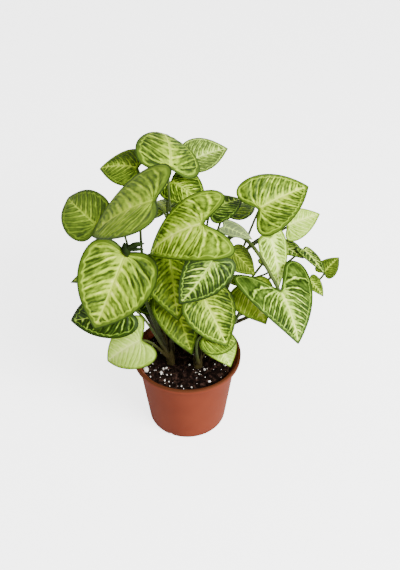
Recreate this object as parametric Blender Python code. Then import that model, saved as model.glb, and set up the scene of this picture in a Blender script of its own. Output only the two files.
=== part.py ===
"""Potted syngonium: a heart-leaved house plant in a tapered nursery pot.

Every length in this file is in millimetres until MM turns it into metres. The origin is the middle
of the pot's foot, +Z is up, and the plant's fuller side looks along -Y. A leaf is placed by the end
of its stalk, by the heading and pitch of the straight line from there to its tip, and by its roll.
"""
import math
from typing import NamedTuple

import bmesh
import bpy
import numpy as np
from mathutils import Matrix

MM = 0.001

# Sides of the stumps, of the holes that they stand in and of the drain holes
ROD_SIDES = 12

# Pot: a standard 12 cm nursery pot, thin-walled, with a turned-down lip
POT_SIDES = 44
RIM_RADIUS = 60.0
RIM_HEIGHT = 93.0
LIP_HEIGHT = 5.0
LIP_WALL = 1.2
LIP_UNDERCUT = 0.8
EDGE_CHAMFER = 0.5
MOUTH_RADIUS = 57.2
SHOULDER_RADIUS = 54.4
SHOULDER_HEIGHT = 87.0
FOOT_RADIUS = 43.0
WALL = 1.4
FOOT_CHAMFER_WIDTH = 0.9
FOOT_CHAMFER_HEIGHT = 2.0
FOOT_RING_WIDTH = 2.8
FLOOR_HEIGHT = 4.0
FLOOR_THICKNESS = 1.4
LAND_RADIUS = 13.0
LAND_DRAFT = 0.8
FOOT_NOTCHES = 3
NOTCH_WIDTH = 4.0
NOTCH_HEIGHT = 3.0
NOTCH_DEPTH = 8.4
NOTCH_AZIMUTH = 4.5
DRAIN_HOLES = 8
DRAIN_RADIUS = 3.2
DRAIN_CIRCLE = 28.0
PAST_FACE = 1.0

# Soil: fills the pot to just under its lip, mounded a little at the middle
FIT_GAP = 0.3
SOIL_EDGE_HEIGHT = 83.5
SOIL_MOUND = 2.5
SOIL_RINGS = 4

# Shoots: each a short stump standing in a plain hole in the soil
STUMP_RADIUS = 4.5
STUMP_FOOT = 62.0
CROWN_HEIGHT = 92.0
STUMP_TOP = 98.0
STUMP_TOP_RADIUS = 2.7
STUMP_SHOULDER = 97.0
SHOOT_PLACES = {
    "shoot_front_left": (-18, -8),
    "shoot_front": (12, -14),
    "shoot_left": (-26, 18),
    "shoot_middle": (4, 20),
    "shoot_right": (32, 6),
    "shoot_back": (-6, 42),
    "shoot_back_right": (26, 34),
}

# Stalks: thin stems that run from a shoot's crown to just under a leaf
STALK_SIDES = 6
STALK_STEPS = 13
STALK_TIP_RADIUS = 1.1
STALK_SWELL = 0.6
SHEATH_SWELL = 0.5
SHEATH_POWER = 6
END_CROWDING = 0.55
ARRIVAL = 0.6

# Leaf blades: one heart-shaped outline, stretched, arched and folded leaf by leaf
BLADE_THICKNESS = 0.8
HUB = 0.04
SHOULDER = 0.45
TIP_TAPER = 0.65
TIP_POINT = 0.06
TIP_SPAN = 0.3
LOBE_TAPER = 0.45
DROOP = 0.10
BLADE_RINGS = (0.38, 0.72, 1.0)
HALF_OUTLINE_TURNS = (0.15, 0.45, 0.85, 1.30, 1.80, 2.25, 2.60, 2.90)


class Leaf(NamedTuple):
    """One leaf: where its stalk ends, how it is turned, its shape, and how its stalk sets out and arrives."""
    name: str
    shoot: str
    base: tuple        # x, y, z of the stalk's end
    turn: tuple        # heading, pitch and roll in degrees
    size: tuple        # length and width
    lobes: float       # depth of the two back lobes, in leaf lengths
    arch: float        # degrees that the midrib bends from the stalk to the tip
    fold: float        # degrees that each half rises from the midrib
    rise: tuple        # the way the stalk leaves the crown, with its strength
    reach: float       # how strongly the stalk bends into the leaf
    arrival: float = ARRIVAL   # the share of its last direction that lies along the midrib


LEAVES = (
    Leaf("leaf_top", "shoot_back", (-16, 69, 292), (100, -7, 22), (92, 74), 0.36, 60, -7,
         (-6, -18, 160), 22),
    Leaf("leaf_high_left", "shoot_back", (-29, 6, 299), (158, -42, -13), (104, 100), 0.46, 32, 12,
         (-6, -6, 154), 14),
    Leaf("leaf_far_left", "shoot_left", (-95, 54, 229), (124, -3, -36), (68, 57), 0.40, 43, 18,
         (-28, 16, 58), 14),
    Leaf("leaf_top_left", "shoot_left", (-51, 92, 278), (162, -14, -14), (48, 54), 0.40, 42, 2,
         (-40, 30, 108), 20),
    Leaf("leaf_top_right", "shoot_back", (4, 122, 266), (24, 5, 12), (46, 50), 0.40, 29, 15,
         (6, 38, 78), 14),
    Leaf("leaf_centre", "shoot_middle", (19, -14, 285), (175, -39, -21), (76, 87), 0.74, 60, 0,
         (14, -12, 120), 28),
    Leaf("leaf_right", "shoot_back_right", (74, 30, 269), (29, 7, 29), (64, 66), 0.54, 44, 14,
         (16, 0, 58), 8),
    Leaf("leaf_front_left", "shoot_front_left", (-61, -2, 239), (209, -65, -52), (101, 82), 0.39, 38, 13,
         (-42, 30, 102), 14),
    Leaf("leaf_low_left", "shoot_front_left", (-63, -14, 172), (170, -24, -66), (71, 56), 0.45, 45, 18,
         (-14, -12, 42), 24),
    Leaf("leaf_pale_low_left", "shoot_front_left", (-47, -30, 141), (167, -45, -48), (59, 57), 0.54, 42, 9,
         (-10, -8, 16), 14),
    Leaf("leaf_inner_front", "shoot_middle", (-17, 24, 212), (-81, -37, 14), (71, 68), 0.42, 25, 10,
         (-20, 12, 98), 8),
    Leaf("leaf_front", "shoot_middle", (29, -20, 244), (200, -52, -66), (64, 52), 0.50, 50, 11,
         (28, -8, 118), 14),
    Leaf("leaf_low_front", "shoot_front", (18, -25, 198), (-43, -55, 32), (61, 55), 0.43, 31, 14,
         (14, 12, 72), 14),
    Leaf("leaf_over_soil", "shoot_front_left", (-13, -2, 173), (-64, -45, 22), (62, 52), 0.53, 26, 11,
         (2, 18, 44), 14),
    Leaf("leaf_low_right", "shoot_front", (16, -41, 158), (21, -31, 28), (48, 46), 0.40, 29, 14,
         (2, -40, 36), 14),
    Leaf("leaf_pale_low_right", "shoot_front", (29, -14, 128), (-60, -19, -6), (39, 44), 0.40, 27, 10,
         (6, 0, 12), 4),
    Leaf("leaf_front_right", "shoot_back_right", (97, -24, 206), (-65, -42, -15), (60, 91), 0.93, 37, 6,
         (6, 22, 247), 14, 0.94),
    Leaf("leaf_under_right", "shoot_right", (63, -6, 199), (-64, -25, 24), (50, 48), 0.35, 24, 6,
         (38, -14, 82), 22),
    Leaf("leaf_folded_pale", "shoot_back_right", (88, 24, 239), (-64, -68, -18), (60, 40), 0.42, 25, 4,
         (22, 10, 114), 14),
    Leaf("leaf_pale_far_right", "shoot_back_right", (108, 60, 224), (29, 1, 24), (43, 40), 0.54, 26, 6,
         (8, 10, 128), 26),
    Leaf("leaf_narrow_right", "shoot_back_right", (97, 51, 208), (-46, 2, -5), (40, 31), 0.40, 20, 4,
         (26, 6, 42), 14),
    Leaf("leaf_small_right", "shoot_back_right", (125, 40, 209), (-56, -14, -26), (40, 28), 0.42, 18, 4,
         (18, 0, 20), 14),
    Leaf("leaf_tiny_right", "shoot_back_right", (148, 30, 183), (46, 15, 4), (27, 25), 0.46, 23, 10,
         (68, -2, 38), 18),
    Leaf("leaf_tiny_low_right", "shoot_back_right", (132, 22, 182), (-50, -25, 0), (25, 20), 0.45, 20, 8,
         (32, 0, 28), 14),
    Leaf("leaf_behind_centre", "shoot_middle", (24, 40, 259), (40, -8, 0), (48, 50), 0.56, 25, 8,
         (8, 6, 60), 14),
    Leaf("leaf_young_pale", "shoot_back_right", (38, 12, 261), (-24, -12, 12), (34, 20), 0.40, 24, 10,
         (6, -10, 76), 14),
    Leaf("leaf_inner_right", "shoot_middle", (47, 8, 232), (-31, -37, -9), (36, 44), 0.35, 20, 2,
         (24, 0, 82), 14),
    Leaf("leaf_inner_left", "shoot_back", (-17, 85, 266), (-32, -20, 10), (48, 50), 0.38, 30, 6,
         (-20, 30, 144), 14),
    Leaf("leaf_inner_low_left", "shoot_left", (-27, 24, 153), (178, -10, -42), (42, 42), 0.45, 25, 10,
         (0, 4, 18), 14),
    Leaf("leaf_back_left", "shoot_left", (-74, 84, 214), (146, -25, 0), (64, 58), 0.55, 30, 10,
         (-32, 26, 58), 18),
    Leaf("leaf_back", "shoot_back", (-21, 82, 226), (105, -25, 0), (66, 56), 0.55, 30, 10,
         (-6, 16, 50), 14),
    Leaf("leaf_back_right", "shoot_back", (40, 84, 226), (60, -25, 0), (66, 60), 0.55, 30, 10,
         (22, 18, 58), 8),
    Leaf("leaf_back_far_right", "shoot_back_right", (95, 87, 141), (25, -25, 0), (50, 42), 0.55, 30, 10,
         (30, 24, 78), 22),
    Leaf("leaf_left_low", "shoot_left", (-76, 50, 168), (172, -22, 0), (60, 52), 0.55, 30, 10,
         (-20, 12, 30), 8),
    Leaf("leaf_back_low_left", "shoot_back", (-34, 72, 158), (120, -30, 0), (58, 52), 0.55, 30, 10,
         (-10, 12, 24), 8),
    Leaf("leaf_back_low", "shoot_back_right", (32, 76, 166), (68, -30, 0), (58, 50), 0.55, 30, 10,
         (4, 24, 38), 14),
    Leaf("leaf_back_low_right", "shoot_back_right", (62, 62, 134), (35, -25, 0), (50, 46), 0.55, 30, 10,
         (10, 10, 14), 20),
)

# Colours, and the leaves that differ from the lime green ones
POT_COLOUR = (0.34, 0.08, 0.04)
SOIL_COLOUR = (0.02, 0.012, 0.008)
STALK_COLOUR = (0.30, 0.38, 0.14)
LEAF_COLOURS = {
    "lime": (0.29, 0.42, 0.09),
    "pale": (0.56, 0.62, 0.30),
    "deep": (0.08, 0.19, 0.05),
}
PALE_LEAVES = {"leaf_pale_low_left", "leaf_pale_low_right", "leaf_folded_pale", "leaf_pale_far_right",
               "leaf_top_right", "leaf_young_pale"}
DEEP_LEAVES = {"leaf_front", "leaf_front_right", "leaf_low_left", "leaf_narrow_right", "leaf_small_right",
               "leaf_behind_centre", "leaf_inner_low_left"}


def material(name, colour, roughness):
    """A plain matt material for one kind of piece."""
    made = bpy.data.materials.new(name)
    made.use_nodes = True
    shader = made.node_tree.nodes["Principled BSDF"]
    shader.inputs["Base Color"].default_value = (*colour, 1.0)
    shader.inputs["Roughness"].default_value = roughness
    shader.inputs["Metallic"].default_value = 0.0
    made.diffuse_color = (*colour, 1.0)
    return made


def add_object(name, mesh, finish=None):
    """Link a mesh to the scene under its node name."""
    made = bpy.data.objects.new(name, mesh)
    bpy.context.scene.collection.objects.link(made)
    if finish:
        mesh.materials.append(finish)
    return made


def mesh_from(name, points, faces):
    """A mesh from points in millimetres, with every face turned outward."""
    mesh = bpy.data.meshes.new(name)
    mesh.from_pydata((np.asarray(points) * MM).tolist(), [], faces)
    shape = bmesh.new()
    shape.from_mesh(mesh)
    bmesh.ops.recalc_face_normals(shape, faces=shape.faces)
    shape.to_mesh(mesh)
    shape.free()
    return mesh


def turned_mesh(name, profile, sides):
    """Spin a profile of (radius, height) pairs, from the axis back to the axis, into a closed body."""
    shape = bmesh.new()
    corners = [shape.verts.new((radius * MM, 0.0, height * MM)) for radius, height in profile]
    edges = [shape.edges.new(pair) for pair in zip(corners, corners[1:])]
    bmesh.ops.spin(shape, geom=corners + edges, axis=(0, 0, 1), cent=(0, 0, 0),
                   angle=math.tau, steps=sides, use_merge=True)
    bmesh.ops.remove_doubles(shape, verts=shape.verts, dist=1e-6)
    bmesh.ops.recalc_face_normals(shape, faces=shape.faces)
    mesh = bpy.data.meshes.new(name)
    shape.to_mesh(mesh)
    shape.free()
    return mesh


def shade_round(target, degrees):
    """Smooth shading that keeps edges sharper than the given angle."""
    target.data.shade_smooth()
    target.data.set_sharp_from_angle(angle=math.radians(degrees))


def boolean(target, operands, operation):
    """Apply a Boolean of the target with a list of objects, and remove those objects."""
    group = bpy.data.collections.new("operands")
    bpy.context.scene.collection.children.link(group)
    for operand in operands:
        bpy.context.scene.collection.objects.unlink(operand)
        group.objects.link(operand)
    step = target.modifiers.new(operation.lower(), 'BOOLEAN')
    step.operation = operation
    step.operand_type = 'COLLECTION'
    step.collection = group
    step.solver = 'EXACT'
    step.use_self = True
    settled = bpy.data.meshes.new_from_object(target.evaluated_get(bpy.context.evaluated_depsgraph_get()))
    target.modifiers.remove(step)
    target.data = settled
    for operand in operands:
        bpy.data.objects.remove(operand)
    bpy.data.collections.remove(group)


def cylinder(name, radius, low, high, place):
    """An upright closed cylinder between two heights."""
    profile = ((0, low), (radius, low), (radius, high), (0, high))
    made = add_object(name, turned_mesh(name, profile, ROD_SIDES))
    made.location = (place[0] * MM, place[1] * MM, 0.0)
    return made


def box(name, size, centre, azimuth):
    """A closed box whose own +X is turned to an azimuth about the pot's axis."""
    shape = bmesh.new()
    bmesh.ops.create_cube(shape, size=1.0)
    bmesh.ops.scale(shape, vec=[length * MM for length in size], verts=shape.verts)
    bmesh.ops.translate(shape, vec=[length * MM for length in centre], verts=shape.verts)
    mesh = bpy.data.meshes.new(name)
    shape.to_mesh(mesh)
    shape.free()
    made = add_object(name, mesh)
    made.rotation_euler.z = azimuth
    return made


def wall_radius(height):
    """Radius of the pot's outer wall below the shoulder."""
    return FOOT_RADIUS + (SHOULDER_RADIUS - FOOT_RADIUS) * height / SHOULDER_HEIGHT


def make_pot():
    """The pot: wall, turned-down lip, raised floor, foot ring with notches, and drain holes."""
    lip_foot = RIM_HEIGHT - LIP_HEIGHT
    lip_inside = RIM_RADIUS - LIP_WALL
    floor_top = FLOOR_HEIGHT + FLOOR_THICKNESS
    profile = (
        (0, floor_top),
        (wall_radius(floor_top) - WALL, floor_top),
        (SHOULDER_RADIUS - WALL, SHOULDER_HEIGHT),
        (MOUTH_RADIUS, RIM_HEIGHT),
        (RIM_RADIUS - EDGE_CHAMFER, RIM_HEIGHT),
        (RIM_RADIUS, RIM_HEIGHT - EDGE_CHAMFER),
        (RIM_RADIUS, lip_foot),
        (lip_inside, lip_foot),
        (lip_inside, RIM_HEIGHT - LIP_WALL),
        (lip_inside - LIP_UNDERCUT, RIM_HEIGHT - LIP_WALL),
        (SHOULDER_RADIUS, SHOULDER_HEIGHT),
        (wall_radius(FOOT_CHAMFER_HEIGHT), FOOT_CHAMFER_HEIGHT),
        (FOOT_RADIUS - FOOT_CHAMFER_WIDTH, 0.0),
        (FOOT_RADIUS - FOOT_RING_WIDTH, 0.0),
        (FOOT_RADIUS - FOOT_RING_WIDTH, FLOOR_HEIGHT),
        (LAND_RADIUS + LAND_DRAFT, FLOOR_HEIGHT),
        (LAND_RADIUS, 0.0),
        (0, 0),
    )
    pot = add_object("pot", turned_mesh("pot", profile, POT_SIDES), material("pot_plastic", POT_COLOUR, 0.55))
    cutters = []
    for index in range(FOOT_NOTCHES):
        azimuth = math.radians(NOTCH_AZIMUTH) + index * math.tau / FOOT_NOTCHES
        notch_size = (NOTCH_DEPTH, NOTCH_WIDTH, 2 * NOTCH_HEIGHT)
        cutters.append(box("notch", notch_size, (FOOT_RADIUS, 0.0, 0.0), azimuth))
    for index in range(DRAIN_HOLES):
        azimuth = index * math.tau / DRAIN_HOLES
        place = (DRAIN_CIRCLE * math.cos(azimuth), DRAIN_CIRCLE * math.sin(azimuth))
        cutters.append(cylinder("drain", DRAIN_RADIUS, FLOOR_HEIGHT - PAST_FACE, floor_top + PAST_FACE, place))
    boolean(pot, cutters, 'DIFFERENCE')
    shade_round(pot, 30)


def make_soil():
    """The soil: one plug inside the pot, with a plain hole for each shoot."""
    floor = FLOOR_HEIGHT + FLOOR_THICKNESS + FIT_GAP
    clear = WALL + FIT_GAP
    edge = wall_radius(SOIL_EDGE_HEIGHT) - clear
    profile = [(0, floor), (wall_radius(floor) - clear, floor), (edge, SOIL_EDGE_HEIGHT)]
    for ring in range(SOIL_RINGS - 1, -1, -1):
        radius = edge * ring / SOIL_RINGS
        profile.append((radius, SOIL_EDGE_HEIGHT + SOIL_MOUND * math.cos(math.pi / 2 * ring / SOIL_RINGS)))
    soil = add_object("soil", turned_mesh("soil", profile, POT_SIDES), material("soil", SOIL_COLOUR, 0.95))
    holes = []
    for place in SHOOT_PLACES.values():
        hole_top = SOIL_EDGE_HEIGHT + SOIL_MOUND + PAST_FACE
        holes.append(cylinder("hole", STUMP_RADIUS + FIT_GAP, STUMP_FOOT - FIT_GAP, hole_top, place))
    boolean(soil, holes, 'DIFFERENCE')
    shade_round(soil, 30)


def outline(turns, half_width, lobes):
    """Heart outline in leaf lengths: a turn runs from 0 at the tip to pi at the notch, its sign picks the side.

    Across, it is a sine raised to a power that grows at the tip and at the lobes. Along, it falls as a
    squared cosine, less a squared sine that pulls the back lobes behind the stalk, and a narrow bell
    curve draws out the tip.
    """
    away = np.abs(turns)
    power = 1 + TIP_TAPER * (1 + np.cos(away)) / 2 + LOBE_TAPER * (1 - np.cos(away)) / 2
    sine = np.clip(np.sin(away), 0, 1)
    across = half_width * sine ** power * (1 + SHOULDER * np.cos(away)) * np.sign(turns)
    along = (1 - TIP_POINT) * np.cos(away / 2) ** 2 + TIP_POINT * np.exp(-(away / TIP_SPAN) ** 2)
    return across, along - lobes * sine ** 2


def blade_points(leaf, reach, turns):
    """Points of the blade's middle surface in its own frame: +Y to the tip, +Z out of the upper face.

    The flat outline is scaled towards the hub, each half is raised by the fold and lowered again as the
    square of its width, and the midrib is bent into an arc.
    """
    length, width = leaf.size
    widest = outline(np.linspace(0, math.pi, 400), 1.0, leaf.lobes)[0].max()
    across, along = outline(turns, width / length / 2 / widest, leaf.lobes)
    side = reach * across * length
    forward = (HUB + reach * (along - HUB)) * length
    lift = np.abs(side) * math.sin(math.radians(leaf.fold)) - DROOP * side ** 2 / (width / 2)
    bend = math.radians(leaf.arch) / length
    if bend == 0:
        return np.stack([side, forward, lift], -1)
    angle = bend * forward
    along_arc = np.sin(angle) / bend
    below = (1 - np.cos(angle)) / bend
    return np.stack([side, along_arc + lift * np.sin(angle), lift * np.cos(angle) - below], -1)


def blade_axes(leaf):
    """Rows: the blade's right side, its midrib's direction at the stalk, and its upper face's direction."""
    heading, pitch, roll = [math.radians(value) for value in leaf.turn]
    level = np.array([math.cos(heading), math.sin(heading), 0.0])
    up = np.array([0.0, 0.0, 1.0])
    forward = level * math.cos(pitch) + up * math.sin(pitch)
    upright = up * math.cos(pitch) - level * math.sin(pitch)
    face = upright * math.cos(roll) + np.cross(forward, upright) * math.sin(roll)
    right = np.cross(forward, face)
    half_arch = math.radians(leaf.arch / 2)
    return np.array([right,
                     forward * math.cos(half_arch) + face * math.sin(half_arch),
                     face * math.cos(half_arch) - forward * math.sin(half_arch)])


def stalk_end(leaf):
    """Where the stalk stops under the blade's hub, and the direction in which it arrives."""
    axes = blade_axes(leaf)
    hub = blade_points(leaf, np.zeros(1), np.zeros(1))[0] @ axes + np.array(leaf.base)
    bend = math.radians(leaf.arch) * HUB
    tangent = axes[1] * math.cos(bend) - axes[2] * math.sin(bend)
    face = axes[2] * math.cos(bend) + axes[1] * math.sin(bend)
    arrival = math.sqrt(1 - leaf.arrival ** 2) * face + leaf.arrival * tangent
    below = BLADE_THICKNESS / 2 + FIT_GAP + leaf.arrival * STALK_TIP_RADIUS
    return hub - below * face, arrival


def make_leaf(leaf, finish):
    """One blade: a fan of rings about the hub, with the same triangles on its two faces."""
    turns = np.array([0.0, *HALF_OUTLINE_TURNS, math.pi, *(-turn for turn in reversed(HALF_OUTLINE_TURNS))])
    count = len(turns)
    middle = [blade_points(leaf, np.zeros(1), np.zeros(1))]
    for reach in BLADE_RINGS:
        middle.append(blade_points(leaf, np.full(count, reach), turns))
    middle = np.concatenate(middle) @ blade_axes(leaf) + np.array(leaf.base)
    fan = []
    for here in range(count):
        ahead = (here + 1) % count
        fan.append((0, 1 + ahead, 1 + here))
        for ring in range(len(BLADE_RINGS) - 1):
            inner = 1 + ring * count
            outer = inner + count
            fan.append((inner + here, inner + ahead, outer + ahead))
            fan.append((inner + here, outer + ahead, outer + here))
    fan = np.array(fan)
    slopes = np.cross(middle[fan[:, 1]] - middle[fan[:, 0]], middle[fan[:, 2]] - middle[fan[:, 0]])
    normals = np.zeros_like(middle)
    for corner in range(3):
        np.add.at(normals, fan[:, corner], slopes)
    normals /= np.linalg.norm(normals, axis=1)[:, None]
    points = np.concatenate([middle + normals * BLADE_THICKNESS / 2, middle - normals * BLADE_THICKNESS / 2])
    rim = len(middle) - count
    under = len(middle)
    faces = fan.tolist() + (fan[:, ::-1] + under).tolist()
    for here in range(count):
        ahead = (here + 1) % count
        faces.append((rim + here, rim + ahead, rim + ahead + under))
        faces.append((rim + here, rim + ahead + under, rim + here + under))
    made = add_object(leaf.name, mesh_from(leaf.name, points, faces), finish)
    shade_round(made, 40)


def stalk_path(leaf):
    """Points along a stalk: a cubic curve from the crown to just under the blade, closer together near it."""
    crown = np.array([*SHOOT_PLACES[leaf.shoot], CROWN_HEIGHT], float)
    end, arrival = stalk_end(leaf)
    after = crown + np.array(leaf.rise)
    before = end - leaf.reach * arrival
    even = np.linspace(0, 1, STALK_STEPS)[:, None]
    along = (1 - END_CROWDING) * even + END_CROWDING * (1 - (1 - even) ** 2)
    left = 1 - along
    return left ** 3 * crown + 3 * left ** 2 * along * after + 3 * left * along ** 2 * before + along ** 3 * end


def stalk_radii(count):
    """Stalk radius from its sheathed foot to its thin end."""
    left = 1 - np.linspace(0, 1, count)
    return STALK_TIP_RADIUS + STALK_SWELL * left + SHEATH_SWELL * left ** SHEATH_POWER


def make_stalk(leaf):
    """A tapered tube along the stalk's path, closed at both ends."""
    path = stalk_path(leaf)
    tangents = np.gradient(path, axis=0)
    tangents /= np.linalg.norm(tangents, axis=1)[:, None]
    side = np.cross(tangents[0], (1.0, 0.0, 0.0))
    side /= np.linalg.norm(side)
    angles = np.arange(STALK_SIDES) * math.tau / STALK_SIDES
    points = []
    for centre, tangent, radius in zip(path, tangents, stalk_radii(len(path))):
        side = side - tangent * (side @ tangent)
        side /= np.linalg.norm(side)
        other = np.cross(tangent, side)
        ring = np.cos(angles)[:, None] * side + np.sin(angles)[:, None] * other
        points.append(centre + radius * ring)
    faces = [tuple(range(STALK_SIDES)), tuple(range((len(path) - 1) * STALK_SIDES, len(path) * STALK_SIDES))]
    for step in range(len(path) - 1):
        for here in range(STALK_SIDES):
            ahead = (here + 1) % STALK_SIDES
            near = step * STALK_SIDES
            far = near + STALK_SIDES
            faces.append((near + here, near + ahead, far + ahead, far + here))
    return add_object("stalk", mesh_from("stalk", np.concatenate(points), faces))


def make_shoot(name, place, finish):
    """A shoot: its stump and the stalks of all its leaves, fused into one body."""
    profile = (
        (0, STUMP_FOOT),
        (STUMP_RADIUS, STUMP_FOOT),
        (STUMP_RADIUS, CROWN_HEIGHT),
        (STUMP_TOP_RADIUS, STUMP_SHOULDER),
        (0, STUMP_TOP),
    )
    shoot = add_object(name, turned_mesh(name, profile, ROD_SIDES), finish)
    shoot.data.transform(Matrix.Translation((place[0] * MM, place[1] * MM, 0.0)))
    stalks = [make_stalk(leaf) for leaf in LEAVES if leaf.shoot == name]
    boolean(shoot, stalks, 'UNION')
    shade_round(shoot, 50)


def main():
    """Build the pot, the soil, the shoots and the leaves."""
    for old in list(bpy.data.objects):
        bpy.data.objects.remove(old)
    make_pot()
    make_soil()
    stalk_green = material("stalk", STALK_COLOUR, 0.5)
    for name, place in SHOOT_PLACES.items():
        make_shoot(name, place, stalk_green)
    finishes = {tone: material("leaf_" + tone, colour, 0.45) for tone, colour in LEAF_COLOURS.items()}
    for leaf in LEAVES:
        tone = "pale" if leaf.name in PALE_LEAVES else "deep" if leaf.name in DEEP_LEAVES else "lime"
        make_leaf(leaf, finishes[tone])


main()
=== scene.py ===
# %% [markdown]
# # A potted arrowhead plant
#
# This lesson dresses a finished model of a variegated house plant. The model gives every piece its
# place and size: a nursery pot, the soil in it, seven shoots and thirty-seven leaf blades. Each step
# below makes one kind of piece again with a finer surface, and gives it the finish that the real
# one has. Lengths are written in millimetres, and MM turns them into Blender's metres.

# %% Load the frame
import math
from functools import partial
from typing import NamedTuple

import bpy
import numpy as np
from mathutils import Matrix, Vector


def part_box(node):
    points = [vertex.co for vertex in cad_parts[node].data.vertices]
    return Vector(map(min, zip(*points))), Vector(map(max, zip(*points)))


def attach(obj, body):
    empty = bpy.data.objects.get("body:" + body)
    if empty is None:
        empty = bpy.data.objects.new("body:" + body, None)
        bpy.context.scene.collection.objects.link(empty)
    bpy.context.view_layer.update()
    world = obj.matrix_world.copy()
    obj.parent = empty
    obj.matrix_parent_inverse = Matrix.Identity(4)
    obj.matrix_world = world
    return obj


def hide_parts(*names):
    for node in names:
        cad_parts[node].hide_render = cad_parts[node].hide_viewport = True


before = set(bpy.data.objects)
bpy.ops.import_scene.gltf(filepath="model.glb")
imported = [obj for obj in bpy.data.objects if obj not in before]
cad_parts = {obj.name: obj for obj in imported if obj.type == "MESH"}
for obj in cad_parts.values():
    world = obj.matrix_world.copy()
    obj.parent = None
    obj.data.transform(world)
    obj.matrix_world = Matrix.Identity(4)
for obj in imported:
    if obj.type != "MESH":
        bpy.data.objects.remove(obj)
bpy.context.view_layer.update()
MM = 0.001

# %% [markdown]
# ## Camera
#
# The photograph was taken from above the plant, from a little over a metre away, with a lens of
# moderate length. The camera is placed by three plain facts: the point that it looks at, its distance,
# and how far it looks down. Blender spreads the sensor's 36 mm over the picture's long side.

# %% Camera
LOOK_AT = (14.5, 0.0, 192.0)
CAMERA_DISTANCE = 1200.0
LOOK_DOWN = math.radians(40.7)
LENS = 71.8

camera_data = bpy.data.cameras.new("camera")
camera_data.lens = LENS
camera = bpy.data.objects.new("camera", camera_data)
camera.location = (
    LOOK_AT[0] * MM,
    (LOOK_AT[1] - CAMERA_DISTANCE * math.cos(LOOK_DOWN)) * MM,
    (LOOK_AT[2] + CAMERA_DISTANCE * math.sin(LOOK_DOWN)) * MM,
)
camera.rotation_euler = (math.pi / 2 - LOOK_DOWN, 0.0, 0.0)
bpy.context.scene.collection.objects.link(camera)
bpy.context.scene.camera = camera
print("Camera at", [round(value, 3) for value in camera.location])

# %% [markdown]
# ## Meshes from arrays
#
# Every new piece is a surface worked out with numpy: its points are one array, its faces another.
# A grid that is closed round one way makes a tube, and a fan of triangles closes each end. Modelling
# by hand or with modifiers would also do, but a formula says exactly what a shape is and is easy to
# change. These helpers turn such arrays into Blender objects that stand at the origin, ride on the
# model's body, and hide the model's nodes that they stand for.

# %% Mesh helpers
def grid_faces(rows, columns):
    """Four-sided faces of a grid whose columns close into a ring; row 0 comes first, columns turn left."""
    row, column = np.meshgrid(np.arange(rows - 1), np.arange(columns), indexing="ij")
    ahead = (column + 1) % columns
    corners = [row * columns + column, row * columns + ahead,
               (row + 1) * columns + ahead, (row + 1) * columns + column]
    return np.stack(corners, -1).reshape(-1, 4)


def fan_faces(centre, first, columns, reverse=False):
    """Triangles from one point to a ring of points that starts at index first."""
    here = np.arange(columns)
    ahead = (here + 1) % columns
    ring = (ahead, here) if reverse else (here, ahead)
    return np.stack([np.full(columns, centre), first + ring[0], first + ring[1]], -1)


def add_piece(name, points, face_arrays, finish, slot=None, stands_for=(), values=None, sharp=None):
    """An object from points in millimetres and arrays of faces, with named values on its points."""
    mesh = bpy.data.meshes.new(name)
    faces = [face for array in face_arrays for face in array.tolist()]
    mesh.from_pydata(points * MM, [], faces)
    for value_name, array in (values or {}).items():
        kind, field = ("FLOAT", "value") if array.ndim == 1 else ("FLOAT_VECTOR", "vector")
        attribute = mesh.attributes.new(value_name, kind, "POINT")
        attribute.data.foreach_set(field, array.astype(np.float32).ravel())
    mesh.shade_smooth()
    if sharp:
        mesh.set_sharp_from_angle(angle=math.radians(sharp))
    mesh.materials.append(finish)
    piece = bpy.data.objects.new(name, mesh)
    bpy.context.scene.collection.objects.link(piece)
    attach(piece, "root")
    if stands_for:
        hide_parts(*stands_for)
    return piece


def joined(parts):
    """One mesh from several, each of which is its points and its arrays of faces."""
    points = []
    faces = []
    for part_points, part_faces in parts:
        faces += [array + sum(map(len, points)) for array in part_faces]
        points.append(part_points)
    return np.concatenate(points), faces


def outside_node(points, node):
    """How far, in millimetres, any point stands outside a node's box."""
    low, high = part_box(node)
    beyond = np.maximum(np.array(low) / MM - points, points - np.array(high) / MM)
    return float(beyond.max())


# %% [markdown]
# ## Node helpers
#
# A material is a small net of nodes. It could be drawn by hand in the shader editor. Written down, it
# stays readable with a few helpers: one adds a node and fills its sockets, one does arithmetic, one
# turns a value into a soft step between 0 and 1, and the rest mix, colour, group and raise.

# %% Node helpers
def add_node(tree, kind, sockets=None, **settings):
    """Add a node, set its own settings, then fill each socket with a number or a link."""
    made = tree.nodes.new(kind)
    for name, value in settings.items():
        setattr(made, name, value)
    for name, value in (sockets or {}).items():
        if isinstance(value, bpy.types.NodeSocket):
            tree.links.new(value, made.inputs[name])
        else:
            made.inputs[name].default_value = value
    return made


def calc(tree, operation, *terms):
    """One Math node on numbers or other nodes' outputs."""
    return add_node(tree, "ShaderNodeMath", dict(enumerate(terms)), operation=operation).outputs[0]


def step(tree, value, start, end):
    """0 before start, 1 after end, smooth in between; with start above end it falls instead."""
    sockets = {"Value": value, "From Min": start, "From Max": end}
    return add_node(tree, "ShaderNodeMapRange", sockets, interpolation_type="SMOOTHSTEP").outputs["Result"]


def mix_values(tree, factor, first, second):
    """A number between two numbers."""
    return add_node(tree, "ShaderNodeMix", {0: factor, 2: first, 3: second}).outputs[0]


def blend(tree, factor, first, second, kind="MIX"):
    """A colour between two colours, or their product."""
    made = add_node(tree, "ShaderNodeMix", {"Factor": factor}, data_type="RGBA", blend_type=kind)
    for socket, value in ((made.inputs[6], first), (made.inputs[7], second)):
        if isinstance(value, bpy.types.NodeSocket):
            tree.links.new(value, socket)
        else:
            socket.default_value = (*value, 1.0)
    return made.outputs[2]


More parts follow.
